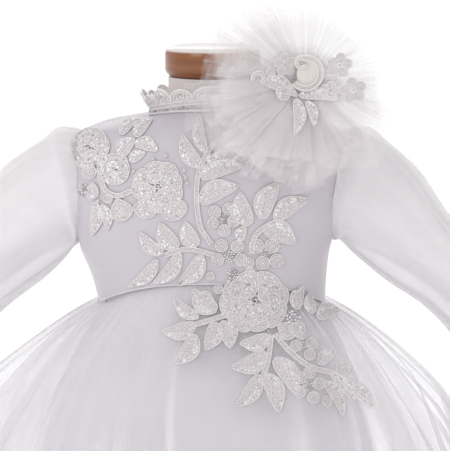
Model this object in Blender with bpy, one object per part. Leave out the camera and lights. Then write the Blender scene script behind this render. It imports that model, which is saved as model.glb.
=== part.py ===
"""A christening gown on a child's dress form.

The gown has a satin bodice with lace sprays, sheer full sleeves, a lace stand collar, a tulle rosette,
and two tulle skirts over a satin underskirt. Metres, +Z up, the front faces -Y. The origin is on the
floor, in the middle of the whole part.
"""

import math

import bmesh
import bpy
import numpy as np
from mathutils import Vector
from mathutils.bvhtree import BVHTree
from mathutils.geometry import delaunay_2d_cdt

# Cloth and seams
SATIN = 0.0015
TULLE = 0.0011
LACE = 0.0012
SEAM = 0.0003

# Heights of the gown at its side seams
WAIST = 0.490
NECK = 0.6345
HEM = 0.075
WAIST_FRONT_RISE = 0.0236
NECK_FRONT_RISE = 0.0060
SQUARENESS = 2.8

# Bodice outline, from the waist up to the neck
BODICE_COLUMNS = ("height", "half_width", "half_depth", "sway")
BODICE_SECTIONS = (
    (0.490, 0.0880, 0.0700, -0.0010),
    (0.510, 0.0910, 0.0715, -0.0030),
    (0.535, 0.0975, 0.0730, -0.0060),
    (0.565, 0.1035, 0.0730, -0.0055),
    (0.595, 0.1060, 0.0700, -0.0040),
    (0.614, 0.1045, 0.0655, -0.0015),
    (0.6225, 0.0990, 0.0610, 0.0),
    (0.629, 0.0835, 0.0550, 0.0),
    (0.6325, 0.0660, 0.0500, 0.0),
    (0.6345, 0.0490, 0.0460, 0.0),
)
ARMHOLE_HEIGHT = 0.580
ARMHOLE_HALF_HEIGHT = 0.0420
ARMHOLE_HALF_ANGLE = math.radians(26)
ARMHOLE_STEPS = 8
ARMHOLE_CLEARANCE = 0.0006
ROWS_BELOW_ARMHOLE = (0.490, 0.512)
ROWS_ABOVE_ARMHOLE = (0.6245, 0.6292, 0.6325, 0.6345)
FRONT_COLUMNS = 14
BACK_COLUMNS = 7
USUAL_RADIUS = 0.08

# Sleeve sections, from the armhole out to the cuff
SLEEVE_COLUMNS = ("out", "up", "height", "depth", "fold")
SLEEVE_SECTIONS = (
    (0.1180, 0.5745, 0.0955, 0.0720, 0.0006),
    (0.1350, 0.5610, 0.0895, 0.0740, 0.0012),
    (0.1580, 0.5378, 0.0785, 0.0750, 0.0018),
    (0.1830, 0.5150, 0.0715, 0.0760, 0.0022),
    (0.2080, 0.4925, 0.0735, 0.0780, 0.0024),
    (0.2310, 0.4715, 0.0785, 0.0820, 0.0028),
    (0.2500, 0.4540, 0.0810, 0.0830, 0.0032),
    (0.2640, 0.4408, 0.0770, 0.0780, 0.0034),
    (0.2740, 0.4315, 0.0645, 0.0640, 0.0028),
    (0.2815, 0.4243, 0.0530, 0.0500, 0.0008),
)
SLEEVE_FOLDS = 5
SLEEVE_FOLD_START = 0.6
SLEEVE_FOLD_TWIST = 0.12
SLEEVE_HEAD_LENGTH = 0.03
SLEEVE_WALL = 0.0011
SLEEVE_HEAD_PUFF = 0.0070
RIGHT_SLEEVE_DROP = 0.075
RIGHT_SLEEVE_NARROWER = 0.20
RIGHT_SLEEVE_SAG = 0.0040
RIGHT_SLEEVE_SAG_AT = 0.148
CUFF_LENGTH = 0.016
CUFF_WALL = 0.0018
CUFF_EASE = 1.01
CUFF_SWELL = 1.015
CUFF_GAP = 0.0004

# Skirt outlines: how far below the waist, and how wide and deep there
SKIRT_COLUMNS = ("drop", "half_width", "half_depth", "fold")
TOP_TULLE_SECTIONS = (
    (0.0013, 0.0880, 0.0700, 0.0),
    (0.0060, 0.1000, 0.0750, 0.0003),
    (0.0220, 0.1260, 0.0880, 0.0014),
    (0.0480, 0.1610, 0.1130, 0.0030),
    (0.0850, 0.2010, 0.1470, 0.0048),
    (0.1350, 0.2310, 0.1840, 0.0070),
    (0.2000, 0.2580, 0.2180, 0.0090),
    (0.2900, 0.2800, 0.2500, 0.0107),
    (0.4150, 0.2940, 0.2700, 0.0120),
)
INNER_TULLE_SECTIONS = (
    (0.0016, 0.0863, 0.0683, 0.0),
    (0.0220, 0.1170, 0.0810, 0.0006),
    (0.0600, 0.1560, 0.1120, 0.0020),
    (0.1350, 0.2130, 0.1670, 0.0045),
    (0.2600, 0.2500, 0.2160, 0.0065),
    (0.4100, 0.2680, 0.2440, 0.0075),
)
UNDERSKIRT_SECTIONS = (
    (0.0019, 0.0846, 0.0666, 0.0),
    (0.0300, 0.1010, 0.0800, 0.0),
    (0.1000, 0.1350, 0.1120, 0.0010),
    (0.2200, 0.1660, 0.1450, 0.0025),
    (0.4000, 0.1900, 0.1720, 0.0035),
)
TOP_TULLE_FOLDS = 20
INNER_TULLE_FOLDS = 12
UNDERSKIRT_FOLDS = 8
SAMPLES_A_FOLD = 4
RIGHT_TUCK = 0.07
RIGHT_TUCK_LENGTH = 0.28

# Collar and seam piping
COLLAR_REPEATS = 18
COLLAR_HEIGHT = 0.0175
COLLAR_FOOT = (0.0478, 0.0448)
COLLAR_BRIM = (0.0565, 0.0525)
COLLAR_LIFT = 0.0040
COLLAR_LIFT_ANGLE = math.radians(-55)
PIPING_RADIUS = 0.0009
PIPING_SAMPLES = 32
NECK_PIPING_RADIUS = 0.0011

# Tulle rosette on the collar
ROSETTE_CENTRE = Vector((0.0690, -0.0750, 0.6670))
ROSETTE_FACING = Vector((0.08, -0.99, 0.12)).normalized()
ROSETTE_RADIUS = 0.065
ROSETTE_LOPSIDE = 0.014
ROSETTE_LONG_SIDE = math.radians(230)
ROSETTE_SWELL = math.radians(115)
ROSETTE_HUB_RADIUS = 0.006
ROSETTE_HUB_PROFILE = ((0.004, -0.006), (0.006, -0.005), (0.006, 0.0065), (0.004, 0.0075))
ROSETTE_LACE_LEVEL = 0.0089
ROSETTE_LACE_GAP = 0.0014
ROSETTE_COLUMNS = ("name", "reach", "root", "rise", "ruffle", "waves", "clearance")
ROSETTE_LAYERS = (
    ("rosette_tulle_back", 1.00, 0.0000, -0.0080, 0.0055, 12, 0.0002),
    ("rosette_tulle_front", 0.86, 0.0035, 0.0150, 0.0036, 11, 0.0006),
)
TAB_WIDTH = 0.010
TAB_START = 0.0009
TAB_ANGLE = math.radians(-42)
TAB_ON_COLLAR = (0.32, 0.55, 0.78)
TAB_END = -0.0073
TAB_BOW = 0.003
TAB_ROWS = 6

# Dress form
CAP_RADIUS = 0.0368
CAP_BOTTOM = 0.6645
CAP_TOP = 0.688
TORSO_BOTTOM = 0.335
TORSO_SIDES = 32
TORSO_ROWS = (0, 1, 2, 4, 6, 8, 10, 12, 13, 14)
TORSO_EASE = ((0.490, 0.0065), (0.560, 0.0050), (0.610, 0.0037), (0.6345, 0.0035))
BELOW_COLUMNS = ("height", "half_width", "half_depth")
BELOW_WAIST = (
    (0.440, 0.0820, 0.0665),
    (0.395, 0.0800, 0.0655),
    (0.355, 0.0700, 0.0600),
    (0.335, 0.0520, 0.0460),
)
NECK_RINGS = ((0.6430, 0.0352), (0.6490, 0.0343), (0.6642, 0.0340))
CAP_SOFTNESS = 0.003
POLE_RADIUS = 0.011
BASE_RADIUS = 0.120
BASE_HEIGHT = 0.020

# Back fastening
BUTTONS = 5
BUTTON_RADIUS = 0.0045
BUTTON_PROFILE = ((0.80, 0.0), (1.0, 0.0010), (0.75, 0.0026), (0.30, 0.0033))
BUTTONS_FROM = 0.515
BUTTONS_TO = 0.606
PLACKET_HALF_WIDTH = 0.007
PLACKET_LIFT = 0.0017
BACK_DEPTH = 0.07

# The sprays are drawn on a plane that faces the front and leans back by this much
SPRAY_LEAN = math.radians(8)
SPRAY_LIFT = 0.0008
SPRAY_GRID = 11.0
SPRAY_SPREAD = 0.0020
SPRAY_CROWN = 1.9 * LACE


def srgb(red, green, blue):
    """A linear colour from the usual 0 to 255 numbers."""
    return tuple((value / 255) ** 2.2 for value in (red, green, blue))


MATERIALS = {
    "satin": (srgb(222, 217, 224), 0.42, 0.0),
    "tulle": (srgb(238, 236, 242), 0.75, 0.0),
    "organza": (srgb(236, 233, 238), 0.6, 0.0),
    "lace": (srgb(228, 226, 224), 0.5, 0.0),
    "form_cloth": (srgb(226, 221, 220), 0.8, 0.0),
    "wood": (srgb(150, 96, 58), 0.4, 0.0),
    "pearl": (srgb(240, 236, 232), 0.2, 0.0),
}


def clear_scene():
    for thing in list(bpy.data.objects):
        bpy.data.objects.remove(thing, do_unlink=True)


def material(name):
    made = bpy.data.materials.get(name)
    if made is None:
        colour, roughness, metallic = MATERIALS[name]
        made = bpy.data.materials.new(name)
        made.use_nodes = True
        shader = made.node_tree.nodes["Principled BSDF"]
        shader.inputs["Base Color"].default_value = (*colour, 1.0)
        shader.inputs["Roughness"].default_value = roughness
        shader.inputs["Metallic"].default_value = metallic
    return made


def finish(name, bm, finish_name, smooth=True):
    """Turns a closed bmesh into a named object with its faces pointing out."""
    bmesh.ops.recalc_face_normals(bm, faces=bm.faces)
    mesh = bpy.data.meshes.new(name)
    bm.to_mesh(mesh)
    bm.free()
    made = bpy.data.objects.new(name, mesh)
    bpy.context.scene.collection.objects.link(made)
    mesh.materials.append(material(finish_name))
    if smooth:
        mesh.shade_smooth()
    return made


def smooth_value(at, places, values):
    """Values between the rows of a table, along a curve that never overshoots them."""
    at, places, values = (np.asarray(v, float) for v in (at, places, values))
    step = np.diff(places)
    slope = np.diff(values) / step
    lean = np.concatenate([slope[:1], np.zeros(len(slope) - 1), slope[-1:]])
    same_way = slope[:-1] * slope[1:] > 0
    total = np.where(same_way, slope[:-1] + slope[1:], 1.0)
    lean[1:-1] = np.where(same_way, 2 * slope[:-1] * slope[1:] / total, 0.0)
    i = np.clip(np.searchsorted(places, at) - 1, 0, len(step) - 1)
    t = np.clip((at - places[i]) / step[i], 0.0, 1.0)
    ease_in = t * t * (3 - 2 * t)
    bend = t * (1 - t)
    rise = values[i] + (values[i + 1] - values[i]) * ease_in
    return rise + step[i] * bend * ((1 - t) * lean[i] - t * lean[i + 1])


def column(rows, columns, name):
    return [row[columns.index(name)] for row in rows]


def squared(angle, half_width, half_depth):
    """A point on a rounded box outline: fuller than an ellipse, flatter at front and back."""
    c, s = np.cos(angle), np.sin(angle)
    power = 2 / SQUARENESS
    return half_width * np.sign(c) * abs(c) ** power, half_depth * np.sign(s) * abs(s) ** power


def front_share(angle):
    return np.maximum(0.0, -np.sin(angle)) ** 1.5


def bodice_point(angle, height, inset=0.0):
    """Points on the bodice's outer face, by the angle round it and the height at its side."""
    angle, height = np.broadcast_arrays(np.asarray(angle, float), np.asarray(height, float))
    places = column(BODICE_SECTIONS, BODICE_COLUMNS, "height")
    half_width = smooth_value(height, places, column(BODICE_SECTIONS, BODICE_COLUMNS, "half_width"))
    half_depth = smooth_value(height, places, column(BODICE_SECTIONS, BODICE_COLUMNS, "half_depth"))
    sway = smooth_value(height, places, column(BODICE_SECTIONS, BODICE_COLUMNS, "sway"))
    share = (height - WAIST) / (NECK - WAIST)
    rise = WAIST_FRONT_RISE + (NECK_FRONT_RISE - WAIST_FRONT_RISE) * share
    x, y = squared(angle, half_width - inset, half_depth - inset)
    return np.stack([x + sway, y, height + rise * front_share(angle)], axis=-1)


def grid_normals(grid, wrap):
    """Unit normals of a grid of points, from its rows and columns."""
    if wrap:
        along = np.roll(grid, -1, axis=1) - np.roll(grid, 1, axis=1)
    else:
        along = np.gradient(grid, axis=1)
    up = np.gradient(grid, axis=0)
    normal = np.cross(along, up)
    return normal / np.linalg.norm(normal, axis=-1, keepdims=True)


def shell(name, outer, inner, wrap, finish_name):
    """A closed cloth wall between two grids of points. With wrap, the columns go all round."""
    rows, columns = outer.shape[:2]
    bm = bmesh.new()
    face_a = [[bm.verts.new(p) for p in row] for row in outer]
    face_b = [[bm.verts.new(p) for p in row] for row in inner]
    spans = columns if wrap else columns - 1
    for r in range(rows - 1):
        for c in range(spans):
            d = (c + 1) % columns
            bm.faces.new((face_a[r][c], face_a[r][d], face_a[r + 1][d], face_a[r + 1][c]))
            bm.faces.new((face_b[r][d], face_b[r][c], face_b[r + 1][c], face_b[r + 1][d]))
    for c in range(spans):
        d = (c + 1) % columns
        bm.faces.new((face_a[0][d], face_a[0][c], face_b[0][c], face_b[0][d]))
        bm.faces.new((face_a[-1][c], face_a[-1][d], face_b[-1][d], face_b[-1][c]))
    if not wrap:
        for r in range(rows - 1):
            bm.faces.new((face_a[r][0], face_a[r + 1][0], face_b[r + 1][0], face_b[r][0]))
            bm.faces.new((face_a[r + 1][-1], face_a[r][-1], face_b[r][-1], face_b[r + 1][-1]))
    return finish(name, bm, finish_name)


def cloth(name, outer, thickness, wrap, finish_name):
    """A wall that keeps one thickness inside the grid of its outer points."""
    inner = outer - grid_normals(outer, wrap) * thickness
    return shell(name, outer, inner, wrap, finish_name)


def lathe(name, profile, sides, finish_name):
    """A turned solid: radius and height pairs, closed with flat ends."""
    bm = bmesh.new()
    turns = [2 * math.pi * k / sides for k in range(sides)]
    rings = [[bm.verts.new((r * math.cos(t), r * math.sin(t), z)) for t in turns] for r, z in profile]
    for low, high in zip(rings, rings[1:]):
        for k in range(sides):
            m = (k + 1) % sides
            bm.faces.new((low[k], low[m], high[m], high[k]))
    bm.faces.new(list(reversed(rings[0])))
    bm.faces.new(rings[-1])
    return finish(name, bm, finish_name)


def ring_tube(name, path, radius, sides, finish_name):
    """A closed loop of piping along a ring of points."""
    path = np.asarray(path, float)
    ahead = np.roll(path, -1, axis=0) - np.roll(path, 1, axis=0)
    ahead /= np.linalg.norm(ahead, axis=1, keepdims=True)
    side = np.cross(ahead, (0.0, 0.0, 1.0))
    side /= np.linalg.norm(side, axis=1, keepdims=True)
    up = np.cross(side, ahead)
    bm = bmesh.new()
    turns = [2 * math.pi * k / sides for k in range(sides)]
    rings = []
    for p, s, u in zip(path, side, up):
        rings.append([bm.verts.new(p + radius * (s * math.cos(t) + u * math.sin(t))) for t in turns])
    for low, high in zip(rings, rings[1:] + rings[:1]):
        for k in range(sides):
            m = (k + 1) % sides
            bm.faces.new((low[k], low[m], high[m], high[k]))
    return finish(name, bm, finish_name)


def bodice_rows():
    steps = np.arange(ARMHOLE_STEPS + 1)
    armhole = ARMHOLE_HEIGHT - ARMHOLE_HALF_HEIGHT * np.cos(math.pi * steps / ARMHOLE_STEPS)
    return np.concatenate([ROWS_BELOW_ARMHOLE, armhole, ROWS_ABOVE_ARMHOLE])


def armhole_angle(height):
    """How far round from the side the armhole's edge is at a height."""
    share = np.clip((height - ARMHOLE_HEIGHT) / ARMHOLE_HALF_HEIGHT, -1, 1)
    return ARMHOLE_HALF_ANGLE * np.sqrt(1 - share * share)


def bodice_panel(name, first, last, first_is_side, last_is_side, columns):
    """One cut piece of the bodice, between two angles. A side edge follows the armhole."""
    heights = bodice_rows()
    seam = SEAM / 2 / USUAL_RADIUS
    opened = armhole_angle(heights)
    start = first + seam + opened * first_is_side
    end = last - seam - opened * last_is_side
    share = np.linspace(0, 1, columns + 1)
    angles = start[:, None] + (end - start)[:, None] * share[None, :]
    heights = heights.copy()
    heights[0] += PIPING_RADIUS + SEAM
    outer = bodice_point(angles, heights[:, None])
    return cloth(name, outer, SATIN, False, "satin")


def make_bodice():
    full = 2 * math.pi
    front = bodice_panel("bodice_front", math.pi, full, True, True, FRONT_COLUMNS)
    bodice_panel("bodice_back_right", 0.0, math.pi / 2, True, False, BACK_COLUMNS)
    bodice_panel("bodice_back_left", math.pi / 2, math.pi, False, True, BACK_COLUMNS)
    return front


def armhole_ring(side):
    """The armhole's edge, from the top down the front and up the back, just clear of the cloth."""
    count = 2 * ARMHOLE_STEPS
    turn = 2 * math.pi * np.arange(count) / count
    heights = ARMHOLE_HEIGHT + ARMHOLE_HALF_HEIGHT * np.cos(turn)
    angles = -ARMHOLE_HALF_ANGLE * np.sin(turn)
    if side < 0:
        angles = math.pi - angles
    points = bodice_point(angles, heights)
    near = bodice_point(angles + 0.01, heights)
    above = bodice_point(angles, heights + 0.0005)
    normal = np.cross(near - points, above - points)
    normal /= np.linalg.norm(normal, axis=1, keepdims=True)
    return points + normal * ARMHOLE_CLEARANCE


def sleeve_rings(side):
    """Outer points of a sleeve, ring by ring, from inside the armhole to the cuff."""
    edge = armhole_ring(side)
    count = len(edge)
    turn = 2 * math.pi * np.arange(count) / count
    rings = [edge]
    table = [column(SLEEVE_SECTIONS, SLEEVE_COLUMNS, name) for name in SLEEVE_COLUMNS]
    out, up, height, depth, fold = (np.array(values) for values in table)
    if side > 0:
        sag = RIGHT_SLEEVE_SAG * np.exp(-((out - RIGHT_SLEEVE_SAG_AT) / 0.02) ** 2)
        up = up - RIGHT_SLEEVE_DROP * (out - out[0]) - sag
        height = height * (1 - RIGHT_SLEEVE_NARROWER * np.sin(np.pi * (out - out[0]) / (out[-1] - out[0])))
    slope = np.arctan2(np.gradient(up), np.gradient(out))
    for k in range(len(out)):
        wave = np.cos(SLEEVE_FOLDS * turn + SLEEVE_FOLD_START + SLEEVE_FOLD_TWIST * k) * fold[k]
        across = depth[k] / 2 + wave
        tall = height[k] / 2 + wave
        high = np.stack([-np.sin(slope[k]) * side * tall * np.cos(turn), 0 * turn,
                         np.cos(slope[k]) * tall * np.cos(turn)], axis=1)
        wide = np.stack([0 * turn, -across * np.sin(turn), 0 * turn], axis=1)
        ring = np.array([side * out[k], 0.0, up[k]]) + high + wide
        from_head = (out[k] - out[0]) / SLEEVE_HEAD_LENGTH
        if from_head < 1:
            keep = 0.5 * (1 - from_head)
            travel = np.array([side * (out[k] - abs(edge[0, 0])), 0.0, up[k] - ARMHOLE_HEIGHT])
            ring = (1 - keep) * ring + keep * (edge + travel)
        rings.append(ring)
    # The head puffs up between the armhole and the first section
    head = (rings[0] + rings[1]) / 2
    away = head - head.mean(axis=0)
    away /= np.linalg.norm(away, axis=1, keepdims=True)
    rings.insert(1, head + away * SLEEVE_HEAD_PUFF)
    return np.array(rings), slope[-1]


def make_sleeve(side, name):
    rings, slope = sleeve_rings(side)
    outer = rings if side > 0 else rings[:, ::-1]
    cloth(f"sleeve_{name}", outer, SLEEVE_WALL, True, "organza")
    # The cuff carries on from the sleeve's last ring
    along = np.array([side * math.cos(slope), 0.0, math.sin(slope)])
    last = outer[-1]
    middle = last.mean(axis=0)
    start = middle + (last - middle) * CUFF_EASE + along * CUFF_GAP
    cuff = np.array([start + along * CUFF_LENGTH * share for share in (0.0, 0.5, 1.0)])
    cuff[1] = middle + (cuff[1] - middle) * CUFF_SWELL
    cloth(f"cuff_{name}", cuff, CUFF_WALL, True, "organza")


def skirt_point(sections, angle, drop, folds, phase):
    """Points on a skirt layer's outer face, by the angle round it and the drop below the waist."""
    places = column(sections, SKIRT_COLUMNS, "drop")
    half_width = smooth_value(drop, places, column(sections, SKIRT_COLUMNS, "half_width"))
    half_depth = smooth_value(drop, places, column(sections, SKIRT_COLUMNS, "half_depth"))
    fold = smooth_value(drop, places, column(sections, SKIRT_COLUMNS, "fold"))
    uneven = 0.75 + 0.25 * np.sin(2 * angle + 1.0 + phase) * np.cos(3 * angle + phase)
    sway = 0.10 * np.sin(3 * angle + phase) + 0.25 * (drop / (WAIST - HEM)) * np.sin(2 * angle)
    wave = fold * uneven * np.cos(folds * angle + phase + sway)
    share = np.clip(drop / 0.20, 0, 1)
    round_out = SQUARENESS + (2.0 - SQUARENESS) * share
    c, s = np.cos(angle), np.sin(angle)
    tuck = 1 - RIGHT_TUCK * np.maximum(0, c) * np.sin(math.pi * np.clip(drop / RIGHT_TUCK_LENGTH, 0, 1))
    x = (half_width * tuck + wave) * np.sign(c) * abs(c) ** (2 / round_out)
    y = (half_depth + wave) * np.sign(s) * abs(s) ** (2 / round_out)
    keep_rise = np.clip(1 - drop / (WAIST - HEM), 0, 1) ** 2
    z = WAIST - drop + WAIST_FRONT_RISE * front_share(angle) * keep_rise
    return np.stack([x, y, z], axis=-1)


def make_skirt(name, sections, folds, phase, thickness, finish_name):
    count = folds * SAMPLES_A_FOLD
    angle = 2 * math.pi * np.arange(count) / count
    drops = np.array(column(sections, SKIRT_COLUMNS, "drop"))[::-1]
    outer = skirt_point(sections, angle[None, :], drops[:, None], folds, phase)
    return cloth(name, outer, thickness, True, finish_name)


def make_piping():
    angle = 2 * math.pi * np.arange(PIPING_SAMPLES) / PIPING_SAMPLES
    waist = bodice_point(angle, WAIST, inset=SATIN / 2)
    ring_tube("waist_piping", waist, PIPING_RADIUS, 4, "satin")
    neck = bodice_point(angle, NECK, inset=NECK_PIPING_RADIUS / 2)
    neck[:, 2] += NECK_PIPING_RADIUS + SEAM
    ring_tube("neck_piping", neck, NECK_PIPING_RADIUS, 4, "satin")


def collar_point(angle, share):
    """Points on the lace collar's outer face: share is 0 at its foot and 1 at its top."""
    x, y = squared(angle, *COLLAR_FOOT)
    lift = COLLAR_LIFT * np.maximum(0, np.cos(angle - COLLAR_LIFT_ANGLE)) ** 2
    foot_z = NECK + NECK_FRONT_RISE * front_share(angle) + 2 * NECK_PIPING_RADIUS + 2.2 * SEAM + lift
    foot = np.stack([x, y, foot_z], axis=-1)
    x, y = squared(angle, *COLLAR_BRIM)
    brim = np.stack([x, y, foot_z + COLLAR_HEIGHT], axis=-1)
    return foot + (brim - foot) * np.asarray(share)[..., None]


def make_collar():
    """A scalloped band. Each repeat is a ring of faces round one cut hole."""
    repeat = 2 * math.pi / COLLAR_REPEATS
    # One repeat: across is -0.5 to 0.5, up is 0 to 1
    rim = ((-0.5, 0.0), (0.0, 0.0), (0.5, 0.0), (0.5, 0.45), (0.5, 0.80), (0.0, 1.0), (-0.5, 0.80),
           (-0.5, 0.45))
    hole = ((-0.20, 0.30), (0.0, 0.24), (0.20, 0.30), (0.27, 0.50), (0.20, 0.72), (0.0, 0.80),
            (-0.20, 0.72), (-0.27, 0.50))
    bm = bmesh.new()
    found = {}

    def vertex(across, up, turn, inside):
        angle = (turn + across) * repeat
        key = (round(across + turn, 3) % COLLAR_REPEATS, round(up, 3), inside)
        if key not in found:
            face = collar_point(np.array(angle), np.array(up))
            if inside:
                face = face - np.array([math.cos(angle), math.sin(angle), -0.4]) * LACE
            found[key] = bm.verts.new(face)
        return found[key]

    for turn in range(COLLAR_REPEATS):
        for k in range(len(rim)):
            m = (k + 1) % len(rim)
            outer = [vertex(*rim[k], turn, False), vertex(*rim[m], turn, False),
                     vertex(*hole[m], turn, False), vertex(*hole[k], turn, False)]
            inner = [vertex(*rim[k], turn, True), vertex(*rim[m], turn, True),
                     vertex(*hole[m], turn, True), vertex(*hole[k], turn, True)]
            bm.faces.new(outer)
            bm.faces.new(inner[::-1])
            bm.faces.new((outer[3], outer[2], inner[2], inner[3]))
            if rim[k][0] != rim[m][0]:
                bm.faces.new((outer[1], outer[0], inner[0], inner[1]))
    return finish("collar_lace", bm, "lace")


def rosette_frame():
    up = Vector((0, 0, 1)) - ROSETTE_FACING * ROSETTE_FACING.z
    up.normalize()
    right = up.cross(ROSETTE_FACING)
    return np.array(right), np.array(up), np.array(ROSETTE_FACING), np.array(ROSETTE_CENTRE)


def rosette_reach(turn):
    return ROSETTE_RADIUS + ROSETTE_LOPSIDE * np.cos(turn - ROSETTE_LONG_SIDE)


def rosette_swell(share):
    """How far a layer of tulle has risen: most of it near the hub, so the layers swell apart."""
    return np.sin(share * ROSETTE_SWELL)


def make_rosette():
    right, up, facing, centre = rosette_frame()
    for row in ROSETTE_LAYERS:
        layer = dict(zip(ROSETTE_COLUMNS, row))
        count = layer["waves"] * SAMPLES_A_FOLD
        hub = ROSETTE_HUB_RADIUS + SEAM + layer["clearance"]
        turn = 2 * math.pi * np.arange(count) / count
        rows = []
        for share in (0.0, 0.35, 0.7, 1.0):
            radius = hub + (rosette_reach(turn) * layer["reach"] - hub) * share
            wave = layer["ruffle"] * share * np.cos(layer["waves"] * turn + 0.4)
            depth = layer["root"] + layer["rise"] * rosette_swell(share) + wave
            rows.append(centre + radius[:, None] * (np.cos(turn)[:, None] * right
                        + np.sin(turn)[:, None] * up) + depth[:, None] * facing)
        cloth(layer["name"], np.array(rows), TULLE, True, "tulle")
    # The hub that gathers the tulle, from behind the layers to the lace on the front
    hub = lathe("rosette_hub", ROSETTE_HUB_PROFILE, 16, "tulle")
    turned = Vector(facing).to_track_quat("Z", "Y").to_matrix().to_4x4()
    turned.translation = Vector(centre)
    hub.data.transform(turned)


def make_tab():
    """The ribbon that runs from the collar to the back of the rosette's hub."""
    _, up, facing, centre = rosette_frame()
    turn = np.array(TAB_ANGLE)
    outward = np.array([np.cos(turn), np.sin(turn), 0.0])
    start = [collar_point(turn, np.array(share)) + outward * TAB_START for share in TAB_ON_COLLAR]
    end = centre + facing * TAB_END
    end = [end - up * TAB_WIDTH / 2, end, end + up * TAB_WIDTH / 2]
    rows = []
    for share in np.linspace(0, 1, TAB_ROWS):
        bow = outward * math.sin(math.pi * share) * TAB_BOW
        rows.append([a + (b - a) * share + bow for a, b in zip(start, end)])
    cloth("rosette_tab", np.array(rows), LACE, False, "lace")


def leaf(base, tip, width, bend=0.12):
    """A leaf's outline and the points along its middle."""
    base, tip = np.array(base, float), np.array(tip, float)
    along = tip - base
    across = np.array([-along[1], along[0]])
    across /= np.linalg.norm(across)
    length = np.linalg.norm(along)
    left, right, rib = [], [], []
    for share, fullness in ((0.0, 0.28), (0.30, 0.92), (0.60, 0.86), (0.86, 0.36)):
        middle = base + along * share + across * bend * length * math.sin(math.pi * share)
        left.append(middle + across * width / 2 * fullness)
        right.append(middle - across * width / 2 * fullness)
        if 0.2 < share < 0.7:
            rib.append(middle)
    return left + [tip] + right[::-1], rib


def flower(centre, radius, petals, turn=0.0, cup=0.84):
    """A flower's scalloped outline, and points on the mounds of its petals."""
    centre = np.array(centre, float)
    outline, mounds = [], [centre]
    for k in range(2 * petals):
        angle = turn + math.pi * k / petals
        reach = radius if k % 2 == 0 else radius * cup
        outline.append(centre + reach * np.array([math.cos(angle), math.sin(angle)]))
        if k % 2 == 0:
            mounds.append(centre + 0.55 * radius * np.array([math.cos(angle), math.sin(angle)]))
    return outline, mounds


def stem(points, width):
    """A narrow strip along a line of points."""
    points = np.array(points, float)
    ahead = np.gradient(points, axis=0)
    across = np.stack([-ahead[:, 1], ahead[:, 0]], axis=1)
    across /= np.linalg.norm(across, axis=1, keepdims=True)
    left = points + across * width / 2
    right = points - across * width / 2
    return list(left) + list(right[::-1]), []


def inside(point, outline):
    """True where a point is in an outline."""
    hit = False
    x, y = point
    for (ax, ay), (bx, by) in zip(outline, outline[1:] + outline[:1]):
        if (ay > y) != (by > y) and x < (bx - ax) * (y - ay) / (by - ay) + ax:
            hit = not hit
    return hit


def deep_inside(point, outline):
    """True where a point is in an outline and clear of its edge."""
    gap = min(math.dist(point, p) for p in outline)
    return gap > SPRAY_GRID * 0.4 and inside(point, [tuple(p) for p in outline])


def joined(shapes):
    """One flat mesh of the union of several outlines: its points, triangles and edge points."""
    points, edges, outlines = [], [], []
    spots = np.array([p for outline, _ in shapes for p in outline])
    low, high = spots.min(axis=0), spots.max(axis=0)
    for row, y in enumerate(np.arange(low[1], high[1], SPRAY_GRID)):
        for x in np.arange(low[0] + SPRAY_GRID / 2 * (row % 2), high[0], SPRAY_GRID):
            if any(deep_inside((x, y), outline) for outline, _ in shapes):
                points.append(Vector((x, y)))
    for outline, marks in shapes:
        first = len(points)
        outlines.append([tuple(p) for p in outline])
        points += [Vector(p) for p in outline]
        edges += [(first + k, first + (k + 1) % len(outline)) for k in range(len(outline))]
        points += [Vector(p) for p in marks]
    flat, _, faces = delaunay_2d_cdt(points, edges, [], 0, 1e-3)[:3]
    kept = []
    for face in faces:
        middle = sum((flat[i] for i in face), Vector((0, 0))) / 3
        if any(inside(middle, outline) for outline in outlines):
            kept.append(tuple(face))
    counts = {}
    for face in kept:
        for k in range(3):
            edge = frozenset((face[k], face[(k + 1) % 3]))
            counts[edge] = counts.get(edge, 0) + 1
    rim = {i for edge, count in counts.items() if count == 1 for i in edge}
    return flat, kept, rim, counts


def spray_solid(name, shapes, place):
    """A raised lace piece. place turns a flat point and a height above the cloth into a 3-D point."""
    flat, faces, rim, counts = joined(shapes)
    used = sorted({i for face in faces for i in face})
    bm = bmesh.new()
    low = {i: bm.verts.new(place(flat[i], 0.0)) for i in used}
    high = {i: bm.verts.new(place(flat[i], LACE if i in rim else SPRAY_CROWN)) for i in used}
    for a, b, c in faces:
        bm.faces.new((high[a], high[b], high[c]))
        bm.faces.new((low[c], low[b], low[a]))
        for p, q in ((a, b), (b, c), (c, a)):
            if counts[frozenset((p, q))] == 1:
                bm.faces.new((low[p], low[q], high[q], high[p]))
    return finish(name, bm, "lace", smooth=False)


def outer_face_tree(objects):
    """Finds the outermost cloth under a point, from the finished panels."""
    points, faces = [], []
    for thing in objects:
        first = len(points)
        points += [v.co.copy() for v in thing.data.vertices]
        faces += [[first + i for i in p.vertices] for p in thing.data.polygons]
    return BVHTree.FromPolygons(points, faces)


def on_cloth(tree):
    """Places a spray's flat points, in millimetres from the front waist, on the cloth behind them."""
    towards = Vector((0.0, math.cos(SPRAY_LEAN), -math.sin(SPRAY_LEAN)))
    up = Vector((0.0, math.sin(SPRAY_LEAN), math.cos(SPRAY_LEAN)))
    waist_front = Vector((0.0, -0.070, WAIST + WAIST_FRONT_RISE))

    def place(flat, height):
        start = waist_front + Vector((flat[0], 0, 0)) / 1000 + up * (flat[1] / 1000)
        depths, normals = [], []
        for across, above in ((0, 0), (1, 0), (-1, 0), (0, 1), (0, -1)):
            origin = start + (Vector((across, 0, 0)) + up * above) * SPRAY_SPREAD
            hit, normal, _, depth = tree.ray_cast(origin - towards * 0.5, towards, 0.7)
            if hit is not None:
                depths.append(depth)
                normals.append(normal if normal.dot(towards) < 0 else -normal)
        normal = sum(normals, Vector()).normalized()
        return start + towards * (min(depths) - 0.5) + normal * (SPRAY_LIFT + height)

    return place


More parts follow.
